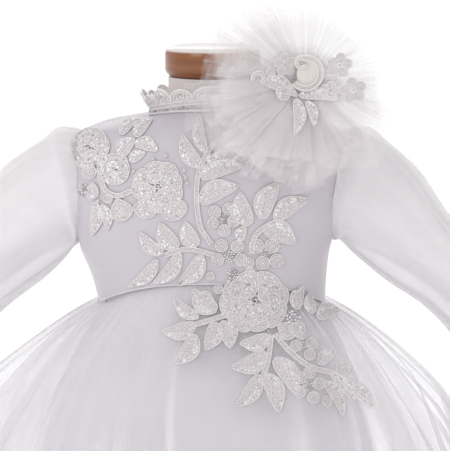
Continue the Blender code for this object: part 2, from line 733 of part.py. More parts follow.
# Lace sprays, in millimetres across from the centre line and up from the front waist
SHOULDER_SPRAY = (
    flower((-82, 98), 15.5, 7),
    flower((-74, 85), 12.8, 6, 0.3),
    flower((-89, 74), 6.5, 5),
    stem(((-88, 90), (-89, 74)), 4.0),
    leaf((-89, 74), (-88, 40), 9),
    flower((-69, 56), 9.8, 6),
    stem(((-72, 79), (-69, 56)), 4.0),
    leaf((-75, 94), (-62, 120), 9),
    leaf((-73, 98), (-47, 123), 9),
    leaf((-73, 91), (-46, 102), 10, -0.1),
)
FRONT_SPRAY = (
    flower((-41, 72), 19.6, 8),
    stem(((-23, 72), (-11, 73)), 4.0),
    stem(((-2, 109), (-7, 90), (-11, 73), (-10, 45), (-1, 29)), 3.4),
    leaf((-10, 85), (-22, 111), 10),
    leaf((-6, 94), (-7, 125), 10),
    leaf((-5, 98), (14, 109), 9, -0.1),
    leaf((-9, 79), (20, 96), 13, -0.1),
    leaf((-11, 59), (20, 78), 14, -0.1),
    flower((7, 52), 10.5, 5),
    stem(((-10, 52), (-1, 52)), 4.0),
    leaf((24, 38), (29, 69), 14),
    leaf((34, 41), (52, 74), 13),
    leaf((37, 40), (72, 62), 12, -0.1),
    leaf((40, 40), (63, 29), 11, 0.1),
    stem(((-1, 29), (14, 34), (37, 40)), 3.4),
    flower((18, 25), 9.8, 5),
    flower((41, 24), 10.5, 5),
    stem(((20, 23), (28, 17), (38, 4)), 6.0),
    stem(((32, 41), (43, 41)), 4.5),
    stem(((40, 41), (41, 26)), 4.0),
    stem(((-1, 29), (-17, 26), (-36, 23)), 3.4),
    leaf((-35, 25), (-53, 39), 10),
    leaf((-29, 25), (-40, 49), 12),
    leaf((-16, 26), (-23, 48), 12),
    leaf((-32, 26), (-65, -2), 11, -0.1),
    leaf((-20, 26), (-46, 0), 12, -0.1),
    leaf((-5, 28), (-26, -2), 13, -0.1),
    flower((32, -15), 27.1, 9),
    leaf((13, -11), (-29, -10), 11),
    leaf((8, -22), (-38, -34), 12),
    leaf((10, -25), (-20, -58), 12),
    leaf((14, -31), (-5, -47), 9),
    leaf((22, -34), (10, -49), 10),
    leaf((53, -20), (81, -4), 11),
    leaf((53, -25), (96, -26), 12),
    stem(((37, -34), (47, -50), (66, -58), (82, -66), (103, -81), (117, -91)), 3.6),
    leaf((47, -47), (16, -65), 13),
    leaf((47, -50), (17, -88), 12),
    stem(((47, -50), (47, -72)), 3.2),
    leaf((47, -66), (37, -96), 11),
    leaf((47, -53), (61, -80), 11),
    flower((72, -72), 6.8, 5),
    stem(((69, -58), (72, -72)), 3.2),
    flower((97, -64), 6.8, 5),
    stem(((87, -69), (97, -64)), 3.2),
    leaf((79, -64), (97, -96), 11),
    leaf((99, -78), (120, -81), 9),
)
ROSETTE_SPRAY = (
    flower((-37, 3), 9.0, 6),
    flower((-15, 10), 12.0, 5, 0.3),
    stem(((-15, 4), (-18, -8)), 4.0),
    leaf((-34, 0), (-8, -14), 11, -0.1),
    flower((-19, -11), 8.5, 6),
    leaf((-12, -10), (18, -16), 12),
    stem(((2, 20), (8, 21), (14, 14), (14, 4), (9, -6), (4, -12)), 5.0),
    stem(((14, 6), (20, 10), (24, 12)), 4.0),
    flower((26, 12), 10.0, 5, 0.2),
    flower((19, -12), 8.0, 5),
    flower((34, -8), 10.5, 5, 0.5),
    stem(((0, -12), (-5, -15)), 3.0),
    leaf((-6, -12), (-10, -40), 10),
    leaf((0, -14), (6, -33), 8),
)


def make_sprays(front, skirt):
    place = on_cloth(outer_face_tree([front, skirt]))
    spray_solid("lace_shoulder", SHOULDER_SPRAY, place)
    spray_solid("lace_front", FRONT_SPRAY, place)
    right, up, facing, centre = rosette_frame()
    layer = dict(zip(ROSETTE_COLUMNS, ROSETTE_LAYERS[-1]))

    def on_rosette(flat, height):
        x, y = flat[0] / 1000, flat[1] / 1000
        edge = rosette_reach(math.atan2(y, x)) * layer["reach"]
        share = max(0.0, math.hypot(x, y) - ROSETTE_HUB_RADIUS) / (edge - ROSETTE_HUB_RADIUS)
        level = layer["root"] + layer["rise"] * rosette_swell(share) + layer["ruffle"] * share + ROSETTE_LACE_GAP
        return centre + right * x + up * y + facing * (max(level, ROSETTE_LACE_LEVEL) + height)

    spray_solid("lace_rosette", ROSETTE_SPRAY, on_rosette)


def make_placket_and_buttons():
    """The strip over the back opening, and the buttons on it."""
    heights = bodice_rows()[1:-1]
    half_angle = PLACKET_HALF_WIDTH / BACK_DEPTH
    angles = math.pi / 2 + np.linspace(-half_angle, half_angle, 5)
    outer = bodice_point(angles[None, :], heights[:, None])
    outer = outer + grid_normals(outer, False) * PLACKET_LIFT
    cloth("back_placket", outer, LACE, False, "satin")
    for k in range(BUTTONS):
        height = BUTTONS_FROM + (BUTTONS_TO - BUTTONS_FROM) * k / (BUTTONS - 1)
        seat = Vector(bodice_point(math.pi / 2, height, inset=-(PLACKET_LIFT + 3 * SEAM)))
        profile = [(BUTTON_RADIUS * share, up) for share, up in BUTTON_PROFILE]
        button = lathe(f"button_{k + 1}", profile, 8, "pearl")
        turned = Vector((0, 1, 0)).to_track_quat("Z", "Y").to_matrix().to_4x4()
        turned.translation = seat
        button.data.transform(turned)


def make_form():
    """The torso fills the bodice, with its neck, wooden cap, pole and base."""
    angle = 2 * math.pi * np.arange(TORSO_SIDES) / TORSO_SIDES
    heights = bodice_rows()[list(TORSO_ROWS)]
    ease = smooth_value(heights, *zip(*TORSO_EASE))
    surface = bodice_point(angle[None, :], heights[:, None])
    rings = list(surface - grid_normals(surface, True) * ease[:, None, None])
    for row in BELOW_WAIST:
        part = dict(zip(BELOW_COLUMNS, row))
        x, y = squared(angle, part["half_width"], part["half_depth"])
        share = (part["height"] - TORSO_BOTTOM) / (WAIST - TORSO_BOTTOM)
        rise = 0.4 * WAIST_FRONT_RISE * front_share(angle) * share
        rings.insert(0, np.stack([x, y, part["height"] + rise], axis=-1))
    for z, radius in NECK_RINGS:
        lift = NECK_FRONT_RISE * front_share(angle) * (CAP_BOTTOM - z) / (CAP_BOTTOM - NECK)
        rings.append(np.stack([radius * np.cos(angle), radius * np.sin(angle), z + lift], axis=-1))
    bm = bmesh.new()
    loops = [[bm.verts.new(p) for p in ring] for ring in rings]
    for low, high in zip(loops, loops[1:]):
        for k in range(TORSO_SIDES):
            m = (k + 1) % TORSO_SIDES
            bm.faces.new((low[k], low[m], high[m], high[k]))
    bm.faces.new(loops[0][::-1])
    bm.faces.new(loops[-1])
    finish("form_torso", bm, "form_cloth")
    soft = CAP_SOFTNESS
    lathe("form_cap", ((CAP_RADIUS - soft, CAP_BOTTOM), (CAP_RADIUS - soft * 0.2, CAP_BOTTOM + soft * 0.5),
          (CAP_RADIUS, 0.676), (CAP_RADIUS - soft * 0.3, CAP_TOP - soft * 0.6),
          (CAP_RADIUS - soft, CAP_TOP)), 28, "wood")
    lathe("form_pole", ((POLE_RADIUS, BASE_HEIGHT + SEAM), (POLE_RADIUS, TORSO_BOTTOM - SEAM)), 20, "wood")
    lathe("form_base", ((BASE_RADIUS, 0.0), (BASE_RADIUS, BASE_HEIGHT - 0.005),
          (BASE_RADIUS - 0.005, BASE_HEIGHT)), 32, "wood")


def centre_on_origin():
    """Moves the whole part so that the middle of its box stands over the origin."""
    points = np.array([v.co for o in bpy.data.objects for v in o.data.vertices])
    middle = (points.min(axis=0) + points.max(axis=0)) / 2
    for thing in bpy.data.objects:
        for vertex in thing.data.vertices:
            vertex.co.x -= middle[0]
            vertex.co.y -= middle[1]


def main():
    clear_scene()
    make_form()
    front = make_bodice()
    make_piping()
    for side, name in ((-1, "left"), (1, "right")):
        make_sleeve(side, name)
    top = make_skirt("skirt_top_tulle", TOP_TULLE_SECTIONS, TOP_TULLE_FOLDS, 0.0, TULLE, "tulle")
    make_skirt("skirt_inner_tulle", INNER_TULLE_SECTIONS, INNER_TULLE_FOLDS, 1.1, TULLE, "tulle")
    make_skirt("underskirt", UNDERSKIRT_SECTIONS, UNDERSKIRT_FOLDS, 2.3, SATIN, "satin")
    make_collar()
    make_rosette()
    make_tab()
    make_sprays(front, top)
    make_placket_and_buttons()
    centre_on_origin()


main()
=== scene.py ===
import math
import random

import bpy
import numpy as np
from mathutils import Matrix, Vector, noise
from mathutils.bvhtree import BVHTree


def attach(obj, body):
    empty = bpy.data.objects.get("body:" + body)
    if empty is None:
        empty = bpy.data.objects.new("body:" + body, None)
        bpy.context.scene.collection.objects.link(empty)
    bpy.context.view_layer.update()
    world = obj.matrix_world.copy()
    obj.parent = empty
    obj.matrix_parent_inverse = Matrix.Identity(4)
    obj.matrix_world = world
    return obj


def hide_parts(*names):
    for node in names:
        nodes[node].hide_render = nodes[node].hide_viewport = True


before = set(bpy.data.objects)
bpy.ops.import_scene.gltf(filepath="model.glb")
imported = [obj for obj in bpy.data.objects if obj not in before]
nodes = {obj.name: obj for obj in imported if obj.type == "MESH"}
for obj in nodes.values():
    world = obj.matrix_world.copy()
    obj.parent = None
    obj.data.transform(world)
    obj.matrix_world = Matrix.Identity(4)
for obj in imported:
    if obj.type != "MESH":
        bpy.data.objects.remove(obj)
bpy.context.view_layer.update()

pi = math.pi
dice = random.Random(7)

# Sizes are in metres. +Z is up, and the gown's front faces -Y.


# Shader sums

class Wire:
    def __init__(self, finish, socket):
        self.finish, self.socket = finish, socket

    def sum(self, operation, first, second):
        return self.finish.node("ShaderNodeMath", {"operation": operation}, {0: first, 1: second})

    def __add__(self, other):
        return self.sum("ADD", self, other)

    def __radd__(self, other):
        return self.sum("ADD", other, self)

    def __sub__(self, other):
        return self.sum("SUBTRACT", self, other)

    def __rsub__(self, other):
        return self.sum("SUBTRACT", other, self)

    def __mul__(self, other):
        return self.sum("MULTIPLY", self, other)

    def __rmul__(self, other):
        return self.sum("MULTIPLY", other, self)

    def clamped(self):
        return self.finish.node("ShaderNodeClamp", {}, {0: self})


class Finish:
    def __init__(self, name, **sockets):
        self.material = bpy.data.materials.new(name)
        self.material.use_nodes = True
        self.tree = self.material.node_tree
        self.shader = self.tree.nodes["Principled BSDF"]
        for socket, value in sockets.items():
            self.shader.inputs[socket.replace("_", " ")].default_value = value

    def node(self, kind, settings, inputs, output=0):
        made = self.tree.nodes.new(kind)
        for name, value in settings.items():
            if name == "stops":
                while len(made.color_ramp.elements) < len(value):
                    made.color_ramp.elements.new(0.5)
                for element, (place, shade) in zip(made.color_ramp.elements, value):
                    element.position = place
                    element.color = (shade, shade, shade, 1)
            else:
                setattr(made, name, value)
        for name, value in inputs.items():
            if isinstance(value, Wire):
                self.tree.links.new(value.socket, made.inputs[name])
            else:
                made.inputs[name].default_value = value
        return Wire(self, made.outputs[output])

    def to(self, socket, wire):
        self.tree.links.new(wire.socket, self.shader.inputs[socket])

    def coordinates(self, kind="Object", scale=(1, 1, 1)):
        source = self.node("ShaderNodeTexCoord", {}, {}, kind)
        return self.node("ShaderNodeMapping", {}, {"Vector": source, "Scale": scale})

    def noise(self, where, scale, detail=3, roughness=0.5):
        values = {"Vector": where, "Scale": scale, "Detail": detail, "Roughness": roughness}
        return self.node("ShaderNodeTexNoise", {}, values)

    def wave(self, where, scale, direction="X", distortion=0.0):
        settings = {"wave_type": "BANDS", "bands_direction": direction}
        return self.node("ShaderNodeTexWave", settings, {"Vector": where, "Scale": scale, "Distortion": distortion})

    def shade(self, factor, dark, light):
        made = self.tree.nodes.new("ShaderNodeMix")
        made.data_type = "RGBA"
        self.tree.links.new(factor.socket, made.inputs["Factor"])
        for slot, colour in ((6, dark), (7, light)):
            if isinstance(colour, Wire):
                self.tree.links.new(colour.socket, made.inputs[slot])
            else:
                made.inputs[slot].default_value = (*colour, 1)
        return Wire(self, made.outputs[2])

    def bump(self, height, distance, strength=1.0):
        wire = self.node("ShaderNodeBump", {}, {"Height": height, "Distance": distance, "Strength": strength})
        self.to("Normal", wire)


def tint(red, green, blue):
    return tuple((value / 255) ** 2.2 for value in (red, green, blue))


def satinFinish(name, dark, light):
    made = Finish(name, Roughness=0.36, Sheen_Weight=0.2, Sheen_Roughness=0.4)
    where = made.coordinates("UV")
    cloudy = made.noise(made.coordinates(), 14, 2)
    made.to("Base Color", made.shade(cloudy, dark, light))
    threads = made.wave(where, 1400) * 0.5 + made.wave(where, 900, "Y") * 0.3
    made.bump(threads * 0.2 + made.noise(where, 90, 4) * 0.8, 0.0003, 0.4)
    return made.material


sheer = {"cloudShare": 0.25, "threadShare": 0.25, "shadow": 0.93}


def sheerFinish(name, light, thin, thick, scale, folded=2.2):
    # Sheer cloth looks denser where it is folded steeply
    made = Finish(name, Roughness=0.7, Sheen_Weight=0.3, Sheen_Roughness=0.5)
    where = made.coordinates("UV")
    cloudy = made.noise(made.coordinates(), scale, 2)
    made.to("Base Color", made.shade(cloudy, tuple(v * sheer["shadow"] for v in light), light))
    threads = made.wave(where, 700) * made.wave(where, 700, "Y")
    steep = made.node("ShaderNodeAttribute", {"attribute_name": "steepness"}, {}, "Fac")
    density = cloudy * sheer["cloudShare"] + threads * sheer["threadShare"] + folded * steep
    made.to("Alpha", (thin + (thick - thin) * density).clamped())
    made.bump(threads * 0.3 + made.noise(where, 60, 3), 0.0003, 0.3)
    return made.material


net = {"thinnest": 0.018, "lowerLeft": 0.118, "middle": 0.16, "fade": 36.0, "threadFrom": 0.4, "threadMore": 1.2}


def netFinish():
    # Tulle gathered at its middle: dense there and on the lower left, thin elsewhere
    made = Finish("gathered tulle", Roughness=0.8, Sheen_Weight=0.3, Sheen_Roughness=0.5)
    around = made.coordinates("UV", (1, 0.05, 1))
    threads = made.noise(around, 240, 4, 0.65)
    made.to("Base Color", made.shade(threads, tint(230, 223, 225), tint(251, 246, 247)))
    along = made.node("ShaderNodeSeparateXYZ", {}, {"Vector": made.coordinates("UV")}, "Y")
    fade = (1.0 - along * net["fade"]).clamped()
    dense = made.node("ShaderNodeAttribute", {"attribute_name": "steepness"}, {}, "Fac")
    density = net["thinnest"] + net["lowerLeft"] * dense + net["middle"] * fade
    made.to("Alpha", (density * (net["threadFrom"] + net["threadMore"] * threads)).clamped())
    made.bump(threads, 0.0002, 0.3)
    return made.material


def laceFinish(name, dark, light, alpha=None):
    made = Finish(name, Roughness=0.55, Sheen_Weight=0.2)
    where = made.coordinates()
    grain = made.noise(where, 900, 2)
    made.to("Base Color", made.shade(grain, dark, light))
    if alpha:
        holes = made.node("ShaderNodeTexVoronoi", {"feature": "DISTANCE_TO_EDGE"}, {"Vector": where, "Scale": 620})
        thread = made.node("ShaderNodeValToRGB", {"stops": ((0.05, 1), (0.16, alpha))}, {0: holes})
        made.to("Alpha", thread)
    made.bump(grain, 0.0002, 0.6)
    return made.material


wood = {"highlightFrom": 0.6838, "highlightEdge": 600.0}


def woodFinish():
    made = Finish("brown wood", Roughness=0.35, Coat_Weight=0.5, Coat_Roughness=0.12)
    where = made.coordinates("Object", (1.0, 1.0, 5.0))
    grain = made.wave(where, 9, "Z", 5.0) * 0.25 + made.noise(where, 22, 4) * 0.75
    # Painted highlight: the flat top of the cap is painted pale, standing in for light that falls on it and glances
    # off it
    height = made.node("ShaderNodeSeparateXYZ", {}, {"Vector": made.coordinates()}, "Z")
    paintedTopHighlight = ((height - wood["highlightFrom"]) * wood["highlightEdge"]).clamped()
    varnish = made.shade(grain, tint(100, 52, 18), tint(154, 92, 42))
    made.to("Base Color", made.shade(paintedTopHighlight, varnish, tint(226, 218, 215)))
    made.bump(grain, 0.0002, 0.2)
    return made.material


def jerseyFinish():
    made = Finish("pale jersey", Roughness=0.85, Sheen_Weight=0.3)
    where = made.coordinates()
    ribs = made.wave(where, 420) * 0.6 + made.noise(where, 300, 3) * 0.4
    made.to("Base Color", made.shade(ribs, tint(196, 186, 186), tint(222, 214, 214)))
    made.bump(ribs, 0.0003, 0.5)
    return made.material


def glossFinish(name, colour, roughness, metallic=0.0):
    made = Finish(name, Roughness=roughness, Metallic=metallic, Coat_Weight=0.5, Coat_Roughness=0.08)
    flecks = made.noise(made.coordinates(), 500, 2)
    made.to("Base Color", made.shade(flecks, tuple(v * 0.8 for v in colour), colour))
    return made.material


finishes = {
    "satin": satinFinish("ivory satin", tint(191, 185, 192), tint(203, 197, 204)),
    "underSatin": satinFinish("skirt satin", tint(206, 200, 208), tint(217, 211, 219)),
    "organza": sheerFinish("organza", tint(253, 250, 253), 0.24, 0.60, 30),
    "lining": sheerFinish("sleeve lining", tint(253, 250, 252), 0.25, 0.50, 24),
    "tulle": sheerFinish("tulle", tint(253, 250, 254), 0.095, 0.50, 20, 1.5),
    "net": netFinish(),
    "laceFill": laceFinish("lace net", tint(211, 204, 206), tint(226, 220, 222), 0.60),
    "laceDense": laceFinish("stitched lace", tint(206, 199, 200), tint(229, 223, 224), 0.80),
    "collarNet": laceFinish("collar lace", tint(214, 208, 209), tint(240, 235, 236), 0.85),
    "laceCord": laceFinish("lace cord", tint(215, 209, 210), tint(235, 230, 231)),
    "binding": laceFinish("satin binding", tint(212, 206, 213), tint(224, 219, 225)),
    "ribbon": laceFinish("cream ribbon", tint(212, 204, 199), tint(228, 221, 216)),
    "wood": woodFinish(),
    "jersey": jerseyFinish(),
    # Painted glint and shade: the sequins are painted near white to stand in for glints, and the grey beads are
    # painted darker to stand in for facets that catch no light, on top of their own pinkish-grey tone
    "pearl": glossFinish("pearl beads", tint(238, 235, 232), 0.2),
    "crystal": glossFinish("grey beads with painted shade", tint(198, 188, 190), 0.15, 0.2),
    "sequin": glossFinish("sequins painted white as glints", tint(250, 249, 252), 0.12, 0.0),
}
print("finishes made")


# Forms that the cloth follows

def smoothValue(at, places, values):
    at, places, values = (np.asarray(v, float) for v in (at, places, values))
    step = np.diff(places)
    slope = np.diff(values) / step
    lean = np.concatenate([slope[:1], np.zeros(len(slope) - 1), slope[-1:]])
    sameWay = slope[:-1] * slope[1:] > 0
    total = np.where(sameWay, slope[:-1] + slope[1:], 1.0)
    lean[1:-1] = np.where(sameWay, 2 * slope[:-1] * slope[1:] / total, 0.0)
    i = np.clip(np.searchsorted(places, at) - 1, 0, len(step) - 1)
    t = np.clip((at - places[i]) / step[i], 0.0, 1.0)
    bend = t * (1 - t)
    rise = values[i] + (values[i + 1] - values[i]) * t * t * (3 - 2 * t)
    return rise + step[i] * bend * ((1 - t) * lean[i] - t * lean[i + 1])


def tableAt(rows, where, column):
    return smoothValue(where, [row[0] for row in rows], [row[column] for row in rows])


def squared(angle, halfWidth, halfDepth, squareness=2.8):
    c, s = np.cos(angle), np.sin(angle)
    power = 2 / squareness
    return halfWidth * np.sign(c) * abs(c) ** power, halfDepth * np.sign(s) * abs(s) ** power


def frontShare(angle):
    return np.maximum(0.0, -np.sin(angle)) ** 1.5


def ripple(points, scale, seed=0.0):
    # Soft uneven bumps between -1 and 1, the same each time
    flat = points.reshape(-1, 3)
    shift = Vector((seed, 2 * seed, -seed))
    values = [noise.noise(Vector(p) * scale + shift) for p in flat]
    return np.array(values).reshape(points.shape[:-1])


def gridNormals(grid, wrapped):
    if wrapped:
        along = np.roll(grid, -1, axis=1) - np.roll(grid, 1, axis=1)
    else:
        along = np.gradient(grid, axis=1)
    normal = np.cross(along, np.gradient(grid, axis=0))
    return normal / np.maximum(np.linalg.norm(normal, axis=-1, keepdims=True), 1e-12)


def unit(rows):
    return rows / np.maximum(np.linalg.norm(rows, axis=1, keepdims=True), 1e-9)


def alone():
    bpy.ops.object.select_all(action="DESELECT")


def active():
    return bpy.context.view_layer.objects.active


def mend(merged=True, outwards=False):
    # Merges the seam of the active piece, and turns its faces outwards
    bpy.ops.object.mode_set(mode="EDIT")
    bpy.ops.mesh.select_all(action="SELECT")
    if merged:
        bpy.ops.mesh.remove_doubles(threshold=1e-6)
    if outwards:
        bpy.ops.mesh.normals_make_consistent(inside=False)
    bpy.ops.object.mode_set(mode="OBJECT")


def clothFrom(name, points, finish, wall=0.0005, wrapped=False, smooth=True, plain=None, denser=0.0):
    # A grid is laid over the points, and then given its thickness on the inside
    rows, columns = points.shape[:2]
    steepness = np.zeros((rows, columns)) + denser
    if plain is not None:
        leaning = np.abs((gridNormals(points, wrapped) * gridNormals(plain, wrapped)).sum(axis=-1))
        steepness = 1 / np.maximum(leaning, 0.4) - 1 + denser
    if wrapped:
        points = np.concatenate([points, points[:, :1]], axis=1)
        steepness = np.concatenate([steepness, steepness[:, :1]], axis=1)
        columns += 1
    alone()
    bpy.ops.mesh.primitive_grid_add(x_subdivisions=columns - 1, y_subdivisions=rows - 1, size=1)
    piece = active()
    piece.name = name
    mesh = piece.data
    mesh.vertices.foreach_set("co", points.reshape(-1))
    mesh.attributes.new("steepness", "FLOAT", "POINT").data.foreach_set("value", steepness.reshape(-1))
    across = np.linalg.norm(np.diff(points, axis=1), axis=2).sum(axis=1).mean()
    down = np.linalg.norm(np.diff(points, axis=0), axis=2).sum(axis=0).mean()
    uv = np.empty(len(mesh.loops) * 2)
    mesh.uv_layers.active.data.foreach_get("uv", uv)
    uv[0::2] *= across
    uv[1::2] *= down
    mesh.uv_layers.active.data.foreach_set("uv", uv)
    if wrapped:
        mend()
    piece.location = (0, 0, 0)
    if wall:
        solid = piece.modifiers.new("wall", "SOLIDIFY")
        solid.thickness = wall
        solid.offset = -1
        bpy.ops.object.modifier_apply(modifier=solid.name)
    if smooth:
        bpy.ops.object.shade_smooth_by_angle(angle=math.radians(60))
    mesh.materials.clear()
    mesh.materials.append(finishes[finish])
    return piece


def joinPieces(name, pieces):
    alone()
    for piece in pieces:
        piece.select_set(True)
    bpy.context.view_layer.objects.active = pieces[0]
    if len(pieces) > 1:
        bpy.ops.object.join()
    joined = active()
    joined.name = name
    return joined


def standsFor(piece, slot, *names):
    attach(piece, "root")
    if names:
        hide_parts(*names)
    return piece


# Bodice

bodice = {
    # height at the side, half width, half depth, sway to the side
    "rows": (
        (0.490, 0.0880, 0.0700, -0.0010), (0.510, 0.0910, 0.0715, -0.0030), (0.535, 0.0975, 0.0730, -0.0060),
        (0.565, 0.1035, 0.0730, -0.0055), (0.595, 0.1060, 0.0700, -0.0040), (0.614, 0.1045, 0.0655, -0.0015),
        (0.6225, 0.0990, 0.0610, 0.0), (0.629, 0.0835, 0.0550, 0.0), (0.6325, 0.0660, 0.0500, 0.0),
        (0.6345, 0.0490, 0.0460, 0.0),
    ),
    "waistFrontRise": 0.0236,
    "neckFrontRise": 0.0060,
    "armholeHeight": 0.580,
    "armholeHalfHeight": 0.0420,
    "armholeHalfAngle": math.radians(26),
    "wall": 0.0012,
    "crease": 0.0006,
    "pucker": 0.00012,
    "seam": 0.0018,
}
waist = bodice["rows"][0][0]
neck = bodice["rows"][-1][0]


def bodicePoint(angle, height, inset=0.0):
    angle, height = np.broadcast_arrays(np.asarray(angle, float), np.asarray(height, float))
    halfWidth, halfDepth, sway = (tableAt(bodice["rows"], height, column) for column in (1, 2, 3))
    share = (height - waist) / (neck - waist)
    rise = bodice["waistFrontRise"] + (bodice["neckFrontRise"] - bodice["waistFrontRise"]) * share
    x, y = squared(angle, halfWidth - inset, halfDepth - inset)
    return np.stack([x + sway, y, height + rise * frontShare(angle)], axis=-1)


def armholeAngle(height):
    share = np.clip((height - bodice["armholeHeight"]) / bodice["armholeHalfHeight"], -1, 1)
    return bodice["armholeHalfAngle"] * np.sqrt(1 - share * share)


def bodicePanel(name, node, first, last, firstIsSide, lastIsSide, columns):
    steps = np.arange(41) / 40
    armhole = bodice["armholeHeight"] - bodice["armholeHalfHeight"] * np.cos(pi * steps)
    below = np.linspace(waist + 0.0002, armhole[0], 14)[:-1]
    above = np.linspace(armhole[-1], neck, 18)[1:]
    heights = np.concatenate([below, armhole, above])
    opened = armholeAngle(heights)
    start = first + bodice["seam"] + opened * firstIsSide
    end = last - bodice["seam"] - opened * lastIsSide
    share = np.linspace(0, 1, columns + 1)
    angles = start[:, None] + (end - start)[:, None] * share[None, :]
    points = bodicePoint(angles, heights[:, None])
    # Soft creases, and a slight pucker along the seams
    edge = np.minimum(share, 1 - share)[None, :] * columns
    pucker = np.exp(-edge / 2.5) * np.sin(heights[:, None] * 1500) * bodice["pucker"]
    slanted = points * np.array([1.0, 1.0, 0.45]) + points[..., [2, 0, 1]] * 0.35
    points = points + gridNormals(points, False) * (ripple(slanted, 34, 3.0) * bodice["crease"] + pucker)[..., None]
    piece = clothFrom(name, points, "satin", bodice["wall"])
    return standsFor(piece, "satin", node)


bodiceFront = bodicePanel("bodiceFront", "bodice_front", pi, 2 * pi, True, True, 130)
bodiceBackRight = bodicePanel("bodiceBackRight", "bodice_back_right", 0.0, pi / 2, True, False, 60)
bodiceBackLeft = bodicePanel("bodiceBackLeft", "bodice_back_left", pi / 2, pi, False, True, 60)
print("bodice made")


# Sleeves

sleeve = {
    # out from the middle, up, height across, depth, fold depth
    "rows": (
        (0.1180, 0.5745, 0.0955, 0.0720, 0.0006), (0.1350, 0.5610, 0.0895, 0.0740, 0.0012),
        (0.1580, 0.5378, 0.0785, 0.0750, 0.0018), (0.1830, 0.5150, 0.0715, 0.0760, 0.0022),
        (0.2080, 0.4925, 0.0735, 0.0780, 0.0024), (0.2310, 0.4715, 0.0785, 0.0820, 0.0028),
        (0.2500, 0.4540, 0.0810, 0.0830, 0.0032), (0.2640, 0.4408, 0.0770, 0.0780, 0.0034),
        (0.2740, 0.4315, 0.0645, 0.0640, 0.0028), (0.2815, 0.4243, 0.0530, 0.0500, 0.0008),
    ),
    "headPuff": 0.0070,
    "rightDrop": 0.075,
    "rightNarrower": 0.20,
    "rightSag": 0.0040,
    "rightSagAt": 0.148,
    "folds": 5,
    "gathers": 26,
    "gatherDepth": 0.0007,
    "sweepDepth": 0.0022,
    "softDepth": 0.0026,
    "headLength": 0.03,
    "shellSteps": (92, 124),
    "liningSteps": (80, 104),
    "wall": 0.0004,
    "liningGap": 0.0022,
    "liningLift": 0.013,
    "cuffLength": 0.016,
    "cuffWall": 0.0012,
}


def armholePoint(side, turn, clear=0.0006):
    heights = bodice["armholeHeight"] + bodice["armholeHalfHeight"] * np.cos(turn)
    angles = -bodice["armholeHalfAngle"] * np.sin(turn)
    if side < 0:
        angles = pi - angles
    points = bodicePoint(angles, heights)
    normal = np.cross(bodicePoint(angles + 0.01, heights) - points, bodicePoint(angles, heights + 0.0005) - points)
    return points + normal / np.linalg.norm(normal, axis=-1, keepdims=True) * clear


def sleevePoints(side, alongCount, roundCount, lining):
    turn = 2 * pi * np.arange(roundCount) / roundCount
    rows = sleeve["rows"]
    out = np.array([row[0] for row in rows])
    up, height, depth, fold = (np.array([row[c] for row in rows]) for c in (1, 2, 3, 4))
    if side > 0:
        sag = sleeve["rightSag"] * np.exp(-((out - sleeve["rightSagAt"]) / 0.02) ** 2)
        up = up - sleeve["rightDrop"] * (out - out[0]) - sag
        height = height * (1 - sleeve["rightNarrower"] * np.sin(pi * (out - out[0]) / (out[-1] - out[0])))
    slope = np.arctan2(np.gradient(up), np.gradient(out))
    edge = armholePoint(side, turn)
    rings = [edge]
    for k in range(len(out)):
        wave = np.cos(sleeve["folds"] * turn + 0.6 + 0.12 * k) * fold[k]
        # The underarm side hangs in a narrow fold
        lower = np.clip(-np.cos(turn), 0, 1) ** 2
        narrow = 1 - 0.55 * lower * min(1, k / 2)
        tall = height[k] / 2 + wave
        across = (depth[k] / 2 + wave) * narrow
        if lining:
            tall = tall - sleeve["liningGap"] - sleeve["liningLift"] * lower * min(1, k / 2)
            across = across - sleeve["liningGap"] * narrow
        high = np.stack([-np.sin(slope[k]) * side * tall * np.cos(turn), 0 * turn,
                         np.cos(slope[k]) * tall * np.cos(turn)], axis=1)
        wide = np.stack([0 * turn, -across * np.sin(turn), 0 * turn], axis=1)
        ring = np.array([side * out[k], 0.0, up[k]]) + high + wide
        if out[k] - out[0] < sleeve["headLength"]:
            keep = 0.5 * (1 - (out[k] - out[0]) / sleeve["headLength"])
            travel = np.array([side * (out[k] - abs(edge[0, 0])), 0.0, up[k] - bodice["armholeHeight"]])
            ring = (1 - keep) * ring + keep * (edge + travel)
        rings.append(ring)
    head = (rings[0] + rings[1]) / 2
    away = head - head.mean(axis=0)
    away /= np.linalg.norm(away, axis=1, keepdims=True)
    puff = sleeve["headPuff"] * (0.4 if lining else 1.0) * (0.55 + 0.45 * np.cos(turn))
    rings.insert(1, head + away * puff[:, None])
    if lining:
        rings[0] = rings[0].mean(axis=0) + (rings[0] - rings[0].mean(axis=0)) * 0.985
    # Even steps along the sleeve between those rings
    rings = np.array(rings)
    places = np.linspace(0, 1, len(rings))
    along = np.linspace(0, 1, alongCount)
    points = np.empty((alongCount, roundCount, 3))
    for c in range(roundCount):
        for axis in range(3):
            points[:, c, axis] = smoothValue(along, places, rings[:, c, axis])
    return points, turn, along, slope[-1]


